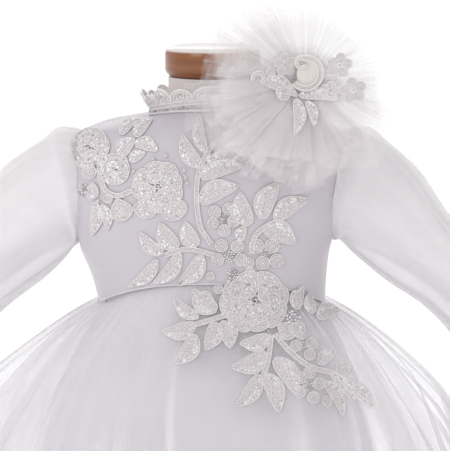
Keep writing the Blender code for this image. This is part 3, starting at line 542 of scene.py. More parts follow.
def madeSleeve(side, name, lining=False):
    steps = sleeve["liningSteps"] if lining else sleeve["shellSteps"]
    points, turn, along, slope = sleevePoints(side, *steps, lining)
    if side < 0:
        points, turn = points[:, ::-1], turn[::-1]
    normals = gridNormals(points, True)
    # Small gathers at the head and the cuff, and long folds that fall from the shoulder
    atHead = np.exp(-along / 0.10) * np.minimum(1, along / 0.03)
    atCuff = np.exp(-(1 - along) / 0.12) * np.minimum(1, (1 - along) / 0.03)
    atEnds = atHead + atCuff
    upper = 0.5 + 0.5 * np.cos(turn)
    gathers = np.sin(sleeve["gathers"] * turn + 2 * np.sin(3 * turn))[None, :]
    gathers = gathers * atEnds[:, None] * (0.4 + upper)[None, :]
    sweep = np.sin(7 * turn[None, :] + 5.5 * along[:, None] + 1.5 * np.sin(4 * along[:, None] + side))
    middle = np.sin(pi * np.clip(along, 0, 1))[:, None] ** 0.8
    soft = ripple(points * np.array([0.6, 1.0, 0.6]), 26, 5.0 + side)
    lift = gathers * sleeve["gatherDepth"] + (sweep * sleeve["sweepDepth"] + soft * sleeve["softDepth"]) * middle
    if lining:
        lift = np.minimum(lift, 0.0) * 0.5
    finish = "lining" if lining else "organza"
    return clothFrom(name, points + normals * lift[..., None], finish, sleeve["wall"], True, True, points), slope


def madeCuff(side, name, node, slope):
    points, turn, _, _ = sleevePoints(side, 110, 96, False)
    if side < 0:
        points, turn = points[:, ::-1], turn[::-1]
    way = np.array([side * math.cos(slope), 0.0, math.sin(slope)])
    last = points[-1]
    middle = last.mean(axis=0)
    rows = []
    for share in np.linspace(0, 1, 14):
        swell = 1.012 + 0.012 * math.sin(pi * share) - 0.02 * (share > 0.97)
        rows.append(middle + (last - middle) * swell + way * (0.0004 + sleeve["cuffLength"] * share))
    piece = clothFrom(name, np.array(rows), "organza", sleeve["cuffWall"], True)
    return standsFor(piece, "organza", node)


for side, word in ((-1, "Left"), (1, "Right")):
    shell, slope = madeSleeve(side, "sleeve" + word)
    standsFor(shell, "organza", "sleeve_" + word.lower())
    inner, _ = madeSleeve(side, "sleeveLining" + word, True)
    standsFor(inner, "organza")
    madeCuff(side, "cuff" + word, "cuff_" + word.lower(), slope)
print("sleeves made")


# Skirts

skirts = {
    # drop below the waist, half width, half depth, fold depth
    "topTulle": (
        (0.0002, 0.0884, 0.0704, 0.0), (0.0060, 0.1000, 0.0750, 0.0003), (0.0220, 0.1260, 0.0880, 0.0014),
        (0.0480, 0.1610, 0.1130, 0.0030), (0.0850, 0.2010, 0.1470, 0.0048), (0.1350, 0.2310, 0.1840, 0.0070),
        (0.2000, 0.2580, 0.2180, 0.0090), (0.2900, 0.2800, 0.2500, 0.0107), (0.4150, 0.2940, 0.2700, 0.0120),
    ),
    "innerTulle": (
        (0.0016, 0.0863, 0.0683, 0.0), (0.0220, 0.1170, 0.0810, 0.0006), (0.0600, 0.1560, 0.1120, 0.0020),
        (0.1350, 0.2130, 0.1670, 0.0045), (0.2600, 0.2500, 0.2160, 0.0065), (0.4100, 0.2680, 0.2440, 0.0075),
    ),
    "thirdTulle": (
        (0.0018, 0.0855, 0.0674, 0.0), (0.0260, 0.1090, 0.0790, 0.0006), (0.0700, 0.1430, 0.1080, 0.0020),
        (0.1500, 0.1890, 0.1530, 0.0040), (0.2800, 0.2250, 0.1950, 0.0060), (0.4050, 0.2420, 0.2180, 0.0070),
    ),
    "underskirt": (
        (0.0019, 0.0846, 0.0666, 0.0), (0.0300, 0.1010, 0.0800, 0.0), (0.1000, 0.1350, 0.1120, 0.0010),
        (0.2200, 0.1660, 0.1450, 0.0025), (0.4000, 0.1900, 0.1720, 0.0035),
    ),
    "hem": 0.075,
    "gathers": 96,
    "gatherDepth": 0.0007,
    "wall": 0.0004,
    "softDepth": 0.0045,
    "levelHem": 0.09,
    "calmHem": 0.12,
    "rightTuck": 0.07,
    "rightTuckLength": 0.28,
    # angle in degrees, width, height, lean, where it starts below the waist
    "mainCreases": (
        (205, 0.030, 0.011, -0.5, 0.04), (221, 0.026, 0.010, -0.4, 0.05), (236, 0.030, 0.011, -0.3, 0.03),
        (254, 0.036, 0.013, -0.15, 0.04), (263, 0.018, -0.008, -0.1, 0.03), (281, 0.026, -0.007, 0.1, 0.09),
        (304, 0.030, 0.011, 0.3, 0.04), (318, 0.030, 0.012, 0.4, 0.03), (333, 0.030, 0.012, 0.5, 0.02),
        (20, 0.036, 0.011, 0.2, 0.05), (75, 0.040, 0.012, -0.2, 0.06), (118, 0.036, 0.012, 0.2, 0.05),
        (160, 0.040, 0.011, -0.3, 0.05),
    ),
}


def skirtPoint(rows, angle, drop, folds, phase):
    halfWidth, halfDepth, fold = (tableAt(rows, drop, column) for column in (1, 2, 3))
    uneven = 0.75 + 0.25 * np.sin(2 * angle + 1.0 + phase) * np.cos(3 * angle + phase)
    sway = 0.10 * np.sin(3 * angle + phase) + 0.25 * (drop / (waist - skirts["hem"])) * np.sin(2 * angle)
    wave = fold * uneven * np.cos(folds * angle + phase + sway)
    share = np.clip(drop / 0.20, 0, 1)
    roundOut = 2.8 - 0.8 * share
    c, s = np.cos(angle), np.sin(angle)
    tuckShare = np.clip(drop / skirts["rightTuckLength"], 0, 1)
    tuck = 1 - skirts["rightTuck"] * np.maximum(0, c) * np.sin(pi * tuckShare)
    x = (halfWidth * tuck + wave) * np.sign(c) * abs(c) ** (2 / roundOut)
    y = (halfDepth + wave) * np.sign(s) * abs(s) ** (2 / roundOut)
    keepRise = np.clip(1 - drop / (waist - skirts["hem"]), 0, 1) ** 2
    return np.stack([x, y, waist - drop + bodice["waistFrontRise"] * frontShare(angle) * keepRise], axis=-1)


def skirtCreases(angle, fall, phase, count, depth):
    # Uneven ridges that run down from the waist, each with its own place, width and lean
    chance = random.Random(int(phase * 10) + 3)
    total = np.zeros((fall.shape[0], angle.shape[0]))
    creases = []
    for k in range(count):
        middle = 2 * pi * (k + chance.uniform(-0.35, 0.35)) / count
        lean = chance.uniform(-0.5, 0.5)
        width = chance.uniform(0.018, 0.05) * 28 / count
        height = depth * chance.uniform(0.5, 1.0) * chance.choice((-1, 1, 1))
        creases.append((middle, width, height, lean, chance.uniform(0.0, 0.10)))
    if phase == 0.0:
        creases += [(math.radians(degrees), *sizes) for degrees, *sizes in skirts["mainCreases"]]
    for middle, width, height, lean, starts in creases:
        away = np.angle(np.exp(1j * (angle[None, :] - middle - lean * (fall - 0.1))))
        total += height * np.exp(-(away / width) ** 2) * np.clip((fall - starts) / 0.12, 0, 1)
    return total


def madeSkirt(name, table, folds, phase, finish, across, down, wall, creaseCount, creaseDepth):
    rows = skirts[table]
    angle = 2 * pi * np.arange(across) / across
    share = np.linspace(0, 1, down) ** 1.35
    drops = (rows[0][0] + (rows[-1][0] - rows[0][0]) * share)[::-1]
    points = skirtPoint(rows, angle[None, :], drops[:, None], folds, phase)
    normals = gridNormals(points, True)
    fall = drops[:, None]
    # The hem stays level: near it the folds move the cloth sideways alone
    normals[..., 2] *= np.clip((rows[-1][0] - fall) / skirts["levelHem"], 0, 1)
    # Fine gathers at the waist open into fewer, softer folds lower down
    gathers = np.sin(skirts["gathers"] * angle + 3 * np.sin(5 * angle + phase))[None, :]
    gathers = gathers * np.exp(-fall / 0.05) * np.minimum(1, fall / 0.012) * skirts["gatherDepth"]
    soft = ripple(points * np.array([1.0, 1.0, 0.25]), 16, phase + 2.0) * skirts["softDepth"]
    soft = soft * np.minimum(1, fall / 0.15)
    creases = skirtCreases(angle, fall, phase, creaseCount, creaseDepth)
    creases *= 1 - 0.5 * np.clip(1 - (rows[-1][0] - fall) / skirts["calmHem"], 0, 1)
    plain = skirtPoint([(*row[:3], 0.0) for row in rows], angle[None, :], drops[:, None], folds, phase)
    return clothFrom(name, points + normals * (gathers + soft + creases)[..., None], finish, wall, True, True, plain,
                     -0.10 * np.maximum(0, np.cos(angle))[None, :])


topTulle = madeSkirt("skirtTopTulle", "topTulle", 20, 0.0, "tulle", 500, 78, skirts["wall"], 34, 0.0085)
innerTulle = madeSkirt("skirtInnerTulle", "innerTulle", 12, 1.1, "tulle", 320, 52, skirts["wall"], 24, 0.0070)
thirdTulle = madeSkirt("skirtThirdTulle", "thirdTulle", 14, 0.4, "tulle", 320, 52, skirts["wall"], 20, 0.0060)
underskirt = madeSkirt("satinUnderskirt", "underskirt", 8, 2.3, "underSatin", 240, 60, 0.0010, 10, 0.0030)
standsFor(topTulle, "tulle", "skirt_top_tulle")
standsFor(innerTulle, "tulle", "skirt_inner_tulle")
standsFor(thirdTulle, "tulle")
standsFor(underskirt, "satin", "underskirt")
print("skirts made")


# Needlework: cords, net, beads and sequins, sewn on a form

def sideways(normal):
    side = np.cross(normal, (0.3, 0.2, 1.0))
    side /= np.linalg.norm(side)
    return side, np.cross(normal, side)


class Needlework:
    def __init__(self, place):
        self.place = place
        self.corners, self.faces, self.kinds = [], [], []

    def add(self, points, faces, kind):
        first = len(self.corners)
        self.corners += [tuple(p) for p in points]
        self.faces += [tuple(first + i for i in face) for face in faces]
        self.kinds += [kind] * len(faces)

    def cord(self, line, thickness, lift=0.0009, closed=False, kind="laceCord", sides=5):
        line = np.asarray(line, float)
        spots = [self.place(x, y) for x, y in line]
        normals = np.array([n for _, n in spots])
        path = np.array([p for p, _ in spots]) + normals * lift
        if closed:
            ahead = np.roll(path, -1, axis=0) - np.roll(path, 1, axis=0)
        else:
            ahead = np.gradient(path, axis=0)
        across = unit(np.cross(unit(ahead), normals))
        turns = 2 * pi * np.arange(sides) / sides
        ring = np.cos(turns)[None, :, None] * across[:, None] + np.sin(turns)[None, :, None] * normals[:, None]
        points = (path[:, None] + ring * thickness).reshape(-1, 3)
        count = len(path)
        faces = []
        for k in range(count if closed else count - 1):
            m = (k + 1) % count
            for j in range(sides):
                n = (j + 1) % sides
                faces.append((k * sides + j, k * sides + n, m * sides + n, m * sides + j))
        if not closed:
            faces.append(tuple(range(sides))[::-1])
            faces.append(tuple((count - 1) * sides + j for j in range(sides)))
        self.add(points, faces, kind)

    def net(self, grid, lift=0.0007, wall=0.0003, kind="laceFill", crown=0.0):
        # A patch of net between rows of flat points, raised a little along its middle
        grid = np.asarray(grid, float)
        rows, columns = grid.shape[:2]
        top, low = [], []
        for r in range(rows):
            for c in range(columns):
                spot, normal = self.place(*grid[r, c])
                rise = crown * math.sin(pi * c / (columns - 1)) * math.sin(pi * (r + 0.5) / rows)
                top.append(spot + normal * (lift + wall + rise))
                low.append(spot + normal * (lift + rise * 0.5))
        faces = []
        count = rows * columns
        for r in range(rows - 1):
            for c in range(columns - 1):
                a = r * columns + c
                faces.append((a, a + 1, a + 1 + columns, a + columns))
                faces.append(tuple(count + i for i in (a, a + columns, a + 1 + columns, a + 1)))
        rim = list(range(columns)) + [r * columns + columns - 1 for r in range(1, rows)]
        rim += [(rows - 1) * columns + c for c in range(columns - 2, -1, -1)]
        rim += [r * columns for r in range(rows - 2, 0, -1)]
        for a, b in zip(rim, rim[1:] + rim[:1]):
            faces.append((b, a, count + a, count + b))
        self.add(top + low, faces, kind)

    def bead(self, x, y, radius, kind="pearl", lift=0.0010):
        spot, normal = self.place(x, y)
        middle = spot + normal * (lift + radius * 0.6)
        side, other = sideways(normal)
        points = [middle + normal * radius]
        for height, wide in ((0.5, 0.87), (-0.5, 0.87)):
            for k in range(6):
                turn = pi * k / 3
                around = math.cos(turn) * side + math.sin(turn) * other
                points.append(middle + radius * (normal * height + wide * around))
        points.append(middle - normal * radius)
        faces = []
        for k in range(6):
            n = (k + 1) % 6
            faces += [(0, 1 + k, 1 + n), (1 + k, 7 + k, 7 + n, 1 + n), (13, 7 + n, 7 + k)]
        self.add(points, faces, kind)

    def sequin(self, x, y, radius, lift=0.0014):
        spot, normal = self.place(x, y)
        tilt = np.array([dice.uniform(-1, 1), dice.uniform(-1, 1), dice.uniform(-1, 1)]) * 0.35
        normal = normal + tilt
        normal /= np.linalg.norm(normal)
        side, other = sideways(normal)
        points = []
        for rise in (lift, lift + 0.00025):
            for k in range(6):
                turn = pi * k / 3
                points.append(spot + normal * rise + radius * (math.cos(turn) * side + math.sin(turn) * other))
        faces = [tuple(range(6))[::-1], tuple(range(6, 12))]
        faces += [(k, (k + 1) % 6, 6 + (k + 1) % 6, 6 + k) for k in range(6)]
        self.add(points, faces, "sequin")

    def piece(self, name):
        alone()
        bpy.ops.mesh.primitive_plane_add(size=0.01)
        made = active()
        made.name = name
        mesh = bpy.data.meshes.new(name)
        mesh.from_pydata([tuple(map(float, p)) for p in self.corners], [], self.faces)
        kinds = sorted(set(self.kinds))
        for kind in kinds:
            mesh.materials.append(finishes[kind])
        mesh.polygons.foreach_set("material_index", [kinds.index(kind) for kind in self.kinds])
        made.data = mesh
        mesh.uv_layers.new(name="cut")
        made.location = (0, 0, 0)
        mend(merged=False, outwards=True)
        bpy.ops.object.shade_smooth_by_angle(angle=math.radians(50))
        return made


def onCloth(pieces, lean):
    # Finds the outermost cloth behind a flat point, seen from the front and a little above
    corners, faces = [], []
    for piece in pieces:
        first = len(corners)
        corners += [v.co.copy() for v in piece.data.vertices]
        faces += [[first + i for i in p.vertices] for p in piece.data.polygons]
    tree = BVHTree.FromPolygons(corners, faces)
    towards = Vector((0.0, math.cos(lean), -math.sin(lean)))
    up = Vector((0.0, math.sin(lean), math.cos(lean)))
    waistFront = Vector((0.0, -bodice["rows"][0][2], waist + bodice["waistFrontRise"]))
    known = {}

    def place(x, y):
        key = (round(x, 1), round(y, 1))
        if key not in known:
            start = waistFront + Vector((x, 0, 0)) / 1000 + up * (y / 1000)
            normals, middle = [], None
            for dx, dy in ((0, 0), (0.003, 0), (-0.003, 0), (0, 0.003), (0, -0.003)):
                origin = start + Vector((dx, 0, 0)) + up * dy
                hit, normal, _, _ = tree.ray_cast(origin - towards * 0.5, towards, 0.8)
                if hit is not None:
                    normals.append(normal if normal.dot(towards) < 0 else -normal)
                    middle = middle or hit
            normal = sum(normals, Vector()).normalized()
            known[key] = (np.array(middle), np.array(normal))
        return known[key]

    return place


def arc(centre, radius, first, last, count, squash=1.0):
    turns = np.linspace(first, last, count)
    return [(centre[0] + radius * math.cos(t), centre[1] + radius * squash * math.sin(t)) for t in turns]


def leafShape(base, tip, width, bend, along, across):
    # A point in a leaf: along from 0 at the base to 1 at its hooked tip, across from -1 to 1
    base, tip = np.array(base, float), np.array(tip, float)
    way = tip - base
    side = np.array([-way[1], way[0]]) / np.linalg.norm(way)
    length = np.linalg.norm(way)
    fullness = math.sin(pi * along ** 0.85) ** 0.75 * (1 - 0.15 * along) + 0.10 * (1 - along)
    hook = bend * (math.sin(pi * along) + 0.9 * max(0, along - 0.75) ** 1.5)
    return base + way * along + side * hook * length + side * (width / 2) * fullness * across


def leaf(work, base, tip, width, bend=0.12):
    # One half is plain net with ribs, and the other is thick with sequins and beads
    steps = max(9, int(math.dist(base, tip) / 1.5))

    def at(along, across):
        return leafShape(base, tip, width, bend, along, across)

    for kind, low, high in (("laceFill", -0.95, 0.0), ("laceDense", 0.0, 0.95)):
        rows = [[at(a, c) for c in np.linspace(low, high, 4)] for a in np.linspace(0.02, 0.96, 9)]
        work.net(rows, kind=kind, crown=0.0005)
    left = [at(a, 1) for a in np.linspace(0, 1, steps)]
    right = [at(a, -1) for a in np.linspace(1, 0, steps)]
    work.cord(left + right[1:-1], 0.00046, 0.0011, closed=True)
    work.cord([at(a, 0) for a in np.linspace(0, 0.94, steps)], 0.00036, 0.0013, sides=4)
    ribs = int(math.dist(base, tip) / 4)
    for k in range(ribs):
        a = 0.12 + 0.66 * k / ribs
        work.cord([at(a, -0.05), at(a + 0.07, -0.45), at(a + 0.11, -0.85)], 0.00026, 0.0012, sides=4)
    for a in np.arange(0.10, 0.90, 2.1 / math.dist(base, tip)):
        for c in (0.28, 0.64):
            spot = at(min(a + dice.uniform(-0.02, 0.02), 0.93), c)
            if dice.random() < 0.5:
                work.sequin(spot[0], spot[1], 0.0009)
            else:
                work.bead(spot[0], spot[1], 0.0006, "crystal" if dice.random() < 0.5 else "pearl")


def disc(work, centre, radius, lift=0.0):
    # A corded round with a bright bead
    rings = [arc(centre, radius * share, 0, 2 * pi, 13) for share in (0.95, 0.55, 0.12)]
    work.net(rings, lift=0.0007 + lift)
    for share, size in ((1.0, 0.00048), (0.70, 0.00030), (0.42, 0.00030)):
        turns = 9 + int(8 * share)
        ring = arc(centre, radius * share, 0, 2 * pi * (turns - 1) / turns, turns)
        work.cord(ring, size, 0.0012 + lift, closed=True, sides=4)
    for x, y in arc(centre, radius * 0.84, 0.2, 0.2 + 2 * pi * 6 / 7, 7):
        work.bead(x, y, 0.0004, dice.choice(("sequin", "crystal")), 0.0012 + lift)
    work.bead(centre[0], centre[1], 0.00017 * radius, "sequin", 0.0012 + lift)


def cluster(work, centre, radius, kind="crystal"):
    # Small beads packed round one larger bead
    work.bead(centre[0], centre[1], 0.0013, kind, 0.0014)
    for reach, count in ((0.48, 6), (0.92, 11)):
        for spot in arc(centre, radius * reach, 0, 2 * pi * (count - 1) / count, count):
            work.bead(spot[0], spot[1], 0.00020 * radius, dice.choice(("pearl", "sequin", kind)), 0.0009)


def chain(work, *spots):
    for x, y in spots:
        work.bead(x, y, 0.0011, "pearl", 0.0012)
        work.cord(arc((x, y), 1.7, 0, 2 * pi * 9 / 10, 10), 0.00028, 0.0008, closed=True, sides=4)


def flower(work, centre, radius, petals, turn=0.0):
    # Corded rounds about a dark bead
    for k in range(petals):
        way = turn + 2 * pi * k / petals
        middle = (centre[0] + radius * 0.58 * math.cos(way), centre[1] + radius * 0.58 * math.sin(way))
        disc(work, middle, min(0.42 * radius, 0.58 * radius * math.sin(pi / petals) * 1.04))
    work.cord(arc(centre, radius * 0.17, 0, 2 * pi * 9 / 10, 10), 0.0004, 0.0016, closed=True)
    work.bead(centre[0], centre[1], 0.0010, "crystal", 0.0014)


def petal(work, base, way, length, wide, lift=0.0):
    # A rounded lobe of net, edged twice with cord
    out = np.array([math.cos(way), math.sin(way)])
    side = np.array([-out[1], out[0]])

    def at(along, across, scale=1.0):
        full = math.sin(pi * along ** 1.35) ** 0.6 * scale
        reach = 0.5 + (along - 0.5) * scale
        return np.array(base) + out * length * reach + side * wide / 2 * full * across

    places = [0.5 - 0.5 * math.cos(t) for t in np.linspace(0, pi, 12)]
    work.net([[at(a, c) for c in np.linspace(-0.96, 0.96, 5)] for a in np.linspace(0.03, 0.985, 7)],
             lift=0.0007 + lift, crown=0.0007)
    outline = [at(a, 1) for a in places] + [at(a, -1) for a in places[::-1]][1:-1]
    work.cord(outline, 0.00046, 0.0012 + lift, closed=True)
    echo = [at(a, 1, 0.66) for a in places[1:-1:2]] + [at(a, -1, 0.66) for a in places[1:-1:2][::-1]]
    work.cord(echo, 0.00026, 0.0014 + lift, closed=True, sides=4)
    for a, c in ((0.62, -0.35), (0.70, 0.4), (0.45, 0.1), (0.86, 0.0)):
        spot = at(a + dice.uniform(-0.05, 0.05), c)
        if dice.random() < 0.5:
            work.sequin(spot[0], spot[1], 0.0009, 0.0018 + lift)
        else:
            work.bead(spot[0], spot[1], 0.0006, dice.choice(("pearl", "crystal")), 0.0014 + lift)


def rose(work, centre, radius, petals, squash=1.0):
    # Two uneven rounds of petals that overlap, about a tight beaded heart
    centre = np.array(centre, float)
    for reach, start, length, count, lift in ((1.0, 0.46, 0.54, petals, 0.0), (0.74, 0.30, 0.42, petals - 1, 0.0005),
                                              (0.46, 0.12, 0.34, 4, 0.0010)):
        for k in range(count):
            way = 2 * pi * (k + dice.uniform(-0.16, 0.16)) / count + reach
            out = np.array([math.cos(way), math.sin(way) * squash])
            size = length * radius * dice.uniform(0.90, 1.08) * math.hypot(*out)
            wide = 2 * pi * radius * (start + length * 0.6) / count * dice.uniform(1.05, 1.3)
            petal(work, centre + out * radius * start, math.atan2(out[1], out[0]), size, wide, lift)
    ground = [[centre + radius * share * np.array([math.cos(t), math.sin(t) * squash])
               for t in np.linspace(0, 2 * pi, 17)] for share in (0.62, 0.36, 0.04)]
    work.net(ground, lift=0.0006, kind="laceDense")
    heart = [centre + radius * 0.16 * (1 - t) * np.array([math.cos(9 * t), math.sin(9 * t)])
             for t in np.linspace(0, 0.95, 18)]
    work.cord(heart, 0.0005, 0.0026)
    for k in range(petals):
        way = 2 * pi * k / petals + 0.3
        spot = centre + radius * 0.56 * np.array([math.cos(way), math.sin(way) * squash])
        work.bead(spot[0], spot[1], 0.0009, "crystal", 0.0016)
        work.cord(arc(spot, 1.6, 0, 2 * pi * 8 / 9, 9), 0.0003, 0.0018, closed=True, sides=4)


def curved(points, count):
    # More points along a line, so that it bends smoothly
    points = np.array(points, float)
    places = np.concatenate([[0], np.cumsum(np.linalg.norm(np.diff(points, axis=0), axis=1))])
    at = np.linspace(0, places[-1], count)
    return np.stack([smoothValue(at, places, points[:, 0]), smoothValue(at, places, points[:, 1])], axis=1)


def stem(work, points, width=3.4):
    length = sum(math.dist(a, b) for a, b in zip(points, points[1:]))
    line = curved(points, max(6, int(length / 2)))
    ahead = np.gradient(line, axis=0)
    side = unit(np.stack([-ahead[:, 1], ahead[:, 0]], axis=1))
    work.net([line + side * width * s for s in (-0.42, 0.0, 0.42)], lift=0.0008)
    work.cord(line + side * width * 0.45, 0.00050, 0.0012)
    work.cord(line - side * width * 0.45, 0.00050, 0.0012)
    for x, y in line[1:-1:2]:
        work.bead(x, y, 0.0006, lift=0.0012)


# Sprays, in millimetres across from the middle and up from the front waist
sprays = {
    "lean": math.radians(8),
    "shoulder": (
        ("rose", (-92.8, 102.6), 16.0, 7), ("disc", (-92.6, 84.3), 5.3), ("rose", (-73.5, 86.3), 12.0, 6),
        ("stem", ((-86, 87), (-79.4, 70), (-70.8, 66.3), (-60.2, 70))), ("cluster", (-96.6, 70.8), 4.5),
        ("chain", (-85.4, 62.5), (-85.2, 58), (-85, 53.8), (-85, 49.7)), ("leaf", (-88, 62), (-92, 36), 9),
        ("petal", (-71, 64), math.radians(-72), 17, 17), ("leaf", (-69.3, 112), (-55.7, 123.5), 8),
        ("leaf", (-58, 110), (-45.2, 123.5), 9), ("leaf", (-70, 96.4), (-58, 108.5), 12),
        ("leaf", (-58, 106), (-40.7, 99.4), 10), ("leaf", (-62, 92), (-50, 98), 8),
        ("leaf", (-83, 60), (-79, 40), 8), ("petal", (-89, 76), math.radians(-100), 12, 10),
        ("disc", (-78, 64), 3.2),
    ),
    "front": (
        ("rose", (-40.7, 73), 19.5, 8), ("petal", (-48, 64), math.radians(-108), 15, 17),
        ("petal", (-33, 66), math.radians(-68), 19, 20),
        ("chain", (-44.4, 93.7), (-35.1, 95.9), (-58.7, 84.3), (-21.1, 85.1), (-20.3, 79.8), (-19.1, 75.3)),
        ("stem", ((0.8, 105.4), (-7.5, 90.4), (-11.3, 77.6), (-12, 67.8), (-9.8, 45.2), (-0.8, 30.1))),
        ("leaf", (-8.5, 87), (-22.6, 112), 12), ("leaf", (-5, 98), (-9, 126.5), 9),
        ("leaf", (-4.5, 92), (11.3, 102), 8, -0.12), ("leaf", (-9, 80), (22.6, 88), 14),
        ("leaf", (-10, 62), (19.6, 73), 15), ("leaf", (27, 44), (21, 69), 15), ("leaf", (36, 49), (49.7, 76), 15),
        ("leaf", (46, 48), (72, 64), 13), ("leaf", (38, 43), (62, 30), 16),
        ("stem", ((49.7, 47.4), (39.2, 42.9), (30.9, 33.9), (29.4, 22.6))), ("disc", (1.8, 54.3), 4.4),
        ("disc", (12.3, 56.5), 4.4), ("disc", (15.8, 47.4), 4.4), ("disc", (9, 40.3), 4.4),
        ("disc", (0.5, 46.0), 4.0), ("cluster", (7.6, 49.0), 3.2), ("disc", (6.8, 29), 4.6),
        ("disc", (18.7, 28.1), 4.6), ("disc", (3.8, 18.3), 4.6), ("disc", (21.4, 18.3), 4.6),
        ("cluster", (12.8, 20.5), 4.0), ("disc", (32.8, 28.6), 5.3), ("disc", (44.4, 28.6), 5.3),
        ("disc", (37.6, 16), 5.0), ("disc", (48, 17.5), 5.0), ("cluster", (39.5, 23), 3.0),
        ("stem", ((-36, 21.8), (-18.8, 26.4), (1.5, 21.8))), ("leaf", (-26.4, 26.4), (-39.2, 46), 14),
        ("leaf", (-12, 28), (-20.3, 47), 13), ("leaf", (-37, 22.8), (-54.2, 39.2), 10),
        ("leaf", (-41, 18.5), (-64, -2.3), 9), ("leaf", (-24.1, 23.5), (-46, -1), 11),
        ("leaf", (-7.5, 22), (-26.5, -1.5), 13), ("disc", (27, 16), 4.0), ("disc", (28, 9), 3.6),
        ("leaf", (20, 32), (25, 44), 8),
    ),
    "waist": (
        ("rose", (31.6, -13.6), 27.0, 8, 0.86), ("disc", (-1.5, 6), 3.0), ("disc", (4.5, -4.5), 3.4),
        ("cluster", (15.5, 7.5), 4.0), ("leaf", (3, -21), (-15, -4.5), 14), ("leaf", (-10, -26), (-29, -10.5), 9),
        ("leaf", (-12, -31), (-37.5, -35.4), 12), ("leaf", (-12, -38), (-27, -59), 13),
        ("leaf", (2.5, -29), (-5.3, -49), 13), ("leaf", (7, -28), (13, -48), 13),
        ("stem", ((14, -22.6), (0, -27), (-13.6, -31))), ("leaf", (63, -20), (68, -2), 10),
        ("leaf", (76, -23), (73, -7), 8), ("leaf", (78, -25), (97, -22), 11), ("cluster", (60.2, -26), 5.0),
        ("disc", (65.8, -37.9), 4.0), ("disc", (62, -46.2), 4.0), ("disc", (73.5, -44.8), 4.0),
        ("disc", (72, -52.8), 4.0), ("cluster", (67.8, -45.4), 2.4),
        ("stem", ((46.7, -37.7), (58, -50.5), (73, -61.7), (91.9, -67.8), (104.7, -80.6), (116.7, -88.9))),
        ("stem", ((44.4, -37.7), (41.4, -56.5), (36.9, -70))), ("leaf", (43, -40), (20, -44), 12),
        ("leaf", (41, -52), (14, -61), 14), ("leaf", (35, -67), (16.5, -89), 12),
        ("leaf", (39, -66), (48.5, -94), 14), ("leaf", (46, -55), (62, -81), 14), ("disc", (64.5, -69), 4.2),
        ("disc", (71.5, -65.5), 4.0), ("disc", (78.5, -73.5), 4.0), ("cluster", (70.3, -74.8), 3.4),
        ("disc", (74, -83), 4.0), ("disc", (64.5, -79), 4.0), ("leaf", (78.3, -60), (92, -51), 9),
        ("disc", (97, -63), 5.0), ("leaf", (83, -72), (96, -97), 10), ("leaf", (98, -74), (119, -91), 10),
        ("leaf", (88, -67), (105, -88), 9), ("petal", (49, -31), math.radians(-32), 15, 13),
        ("petal", (57, -33), math.radians(-12), 12, 11), ("petal", (1, -13), math.radians(168), 12, 11),
        ("disc", (57, -61), 3.4), ("disc", (84, -86), 3.4),
    ),
    "rosette": (
        ("flower", (-16.5, 11.5), 9.0, 5, 0.4), ("leaf", (-33, 0), (-7, -12), 11),
        ("petal", (-14, -5), math.radians(228), 11, 11), ("leaf", (-6, -11), (22, -15), 9),
        ("flower", (23.3, 10.5), 9.6, 5, 0.2), ("flower", (33, -8), 10.2, 5, 0.5),
        ("flower", (17, -8), 7.6, 5, 0.1), ("leaf", (-8, -13), (-10.5, -40), 9),
        ("leaf", (0, -15), (3.5, -33.5), 7), ("disc", (-27.5, 6), 3.6), ("chain", (8, 14), (11, 8)),
    ),
}


def embroidered(name, place, plan):
    work = Needlework(place)
    makers = {"leaf": leaf, "flower": flower, "rose": rose, "stem": stem, "disc": disc, "cluster": cluster,
              "petal": petal, "chain": chain}
    for kind, *sizes in plan:
        makers[kind](work, *sizes)
    return work.piece(name)


sleeveShells = [bpy.data.objects["sleeve" + word] for word in ("Left", "Right")]
gownFront = onCloth([bodiceFront, *sleeveShells, topTulle], sprays["lean"])
for word, *node in (("shoulder", "lace_shoulder"), ("front", "lace_front"), ("waist",)):
    standsFor(embroidered("lace" + word.capitalize(), gownFront, sprays[word]), "lace", *node)
print("lace sprays sewn")


# Collar

collar = {
    "foot": (0.0478, 0.0448),
    "brim": (0.0565, 0.0525),
    "height": 0.0175,
    "lift": 0.0040,
    "liftAngle": math.radians(-55),
    "footHeight": 0.6374,
    "scallop": 0.48,
    "scallopSwing": 0.10,
    "repeats": 18,
}


def collarPoint(angle, share):
    x, y = squared(angle, *collar["foot"])
    lift = collar["lift"] * np.maximum(0, np.cos(angle - collar["liftAngle"])) ** 2
    footZ = collar["footHeight"] + bodice["neckFrontRise"] * frontShare(angle) + lift
    foot = np.stack([x, y, footZ], axis=-1)
    x, y = squared(angle, *collar["brim"])
    brim = np.stack([x, y, footZ + collar["height"]], axis=-1)
    return foot + (brim - foot) * np.asarray(share)[..., None]


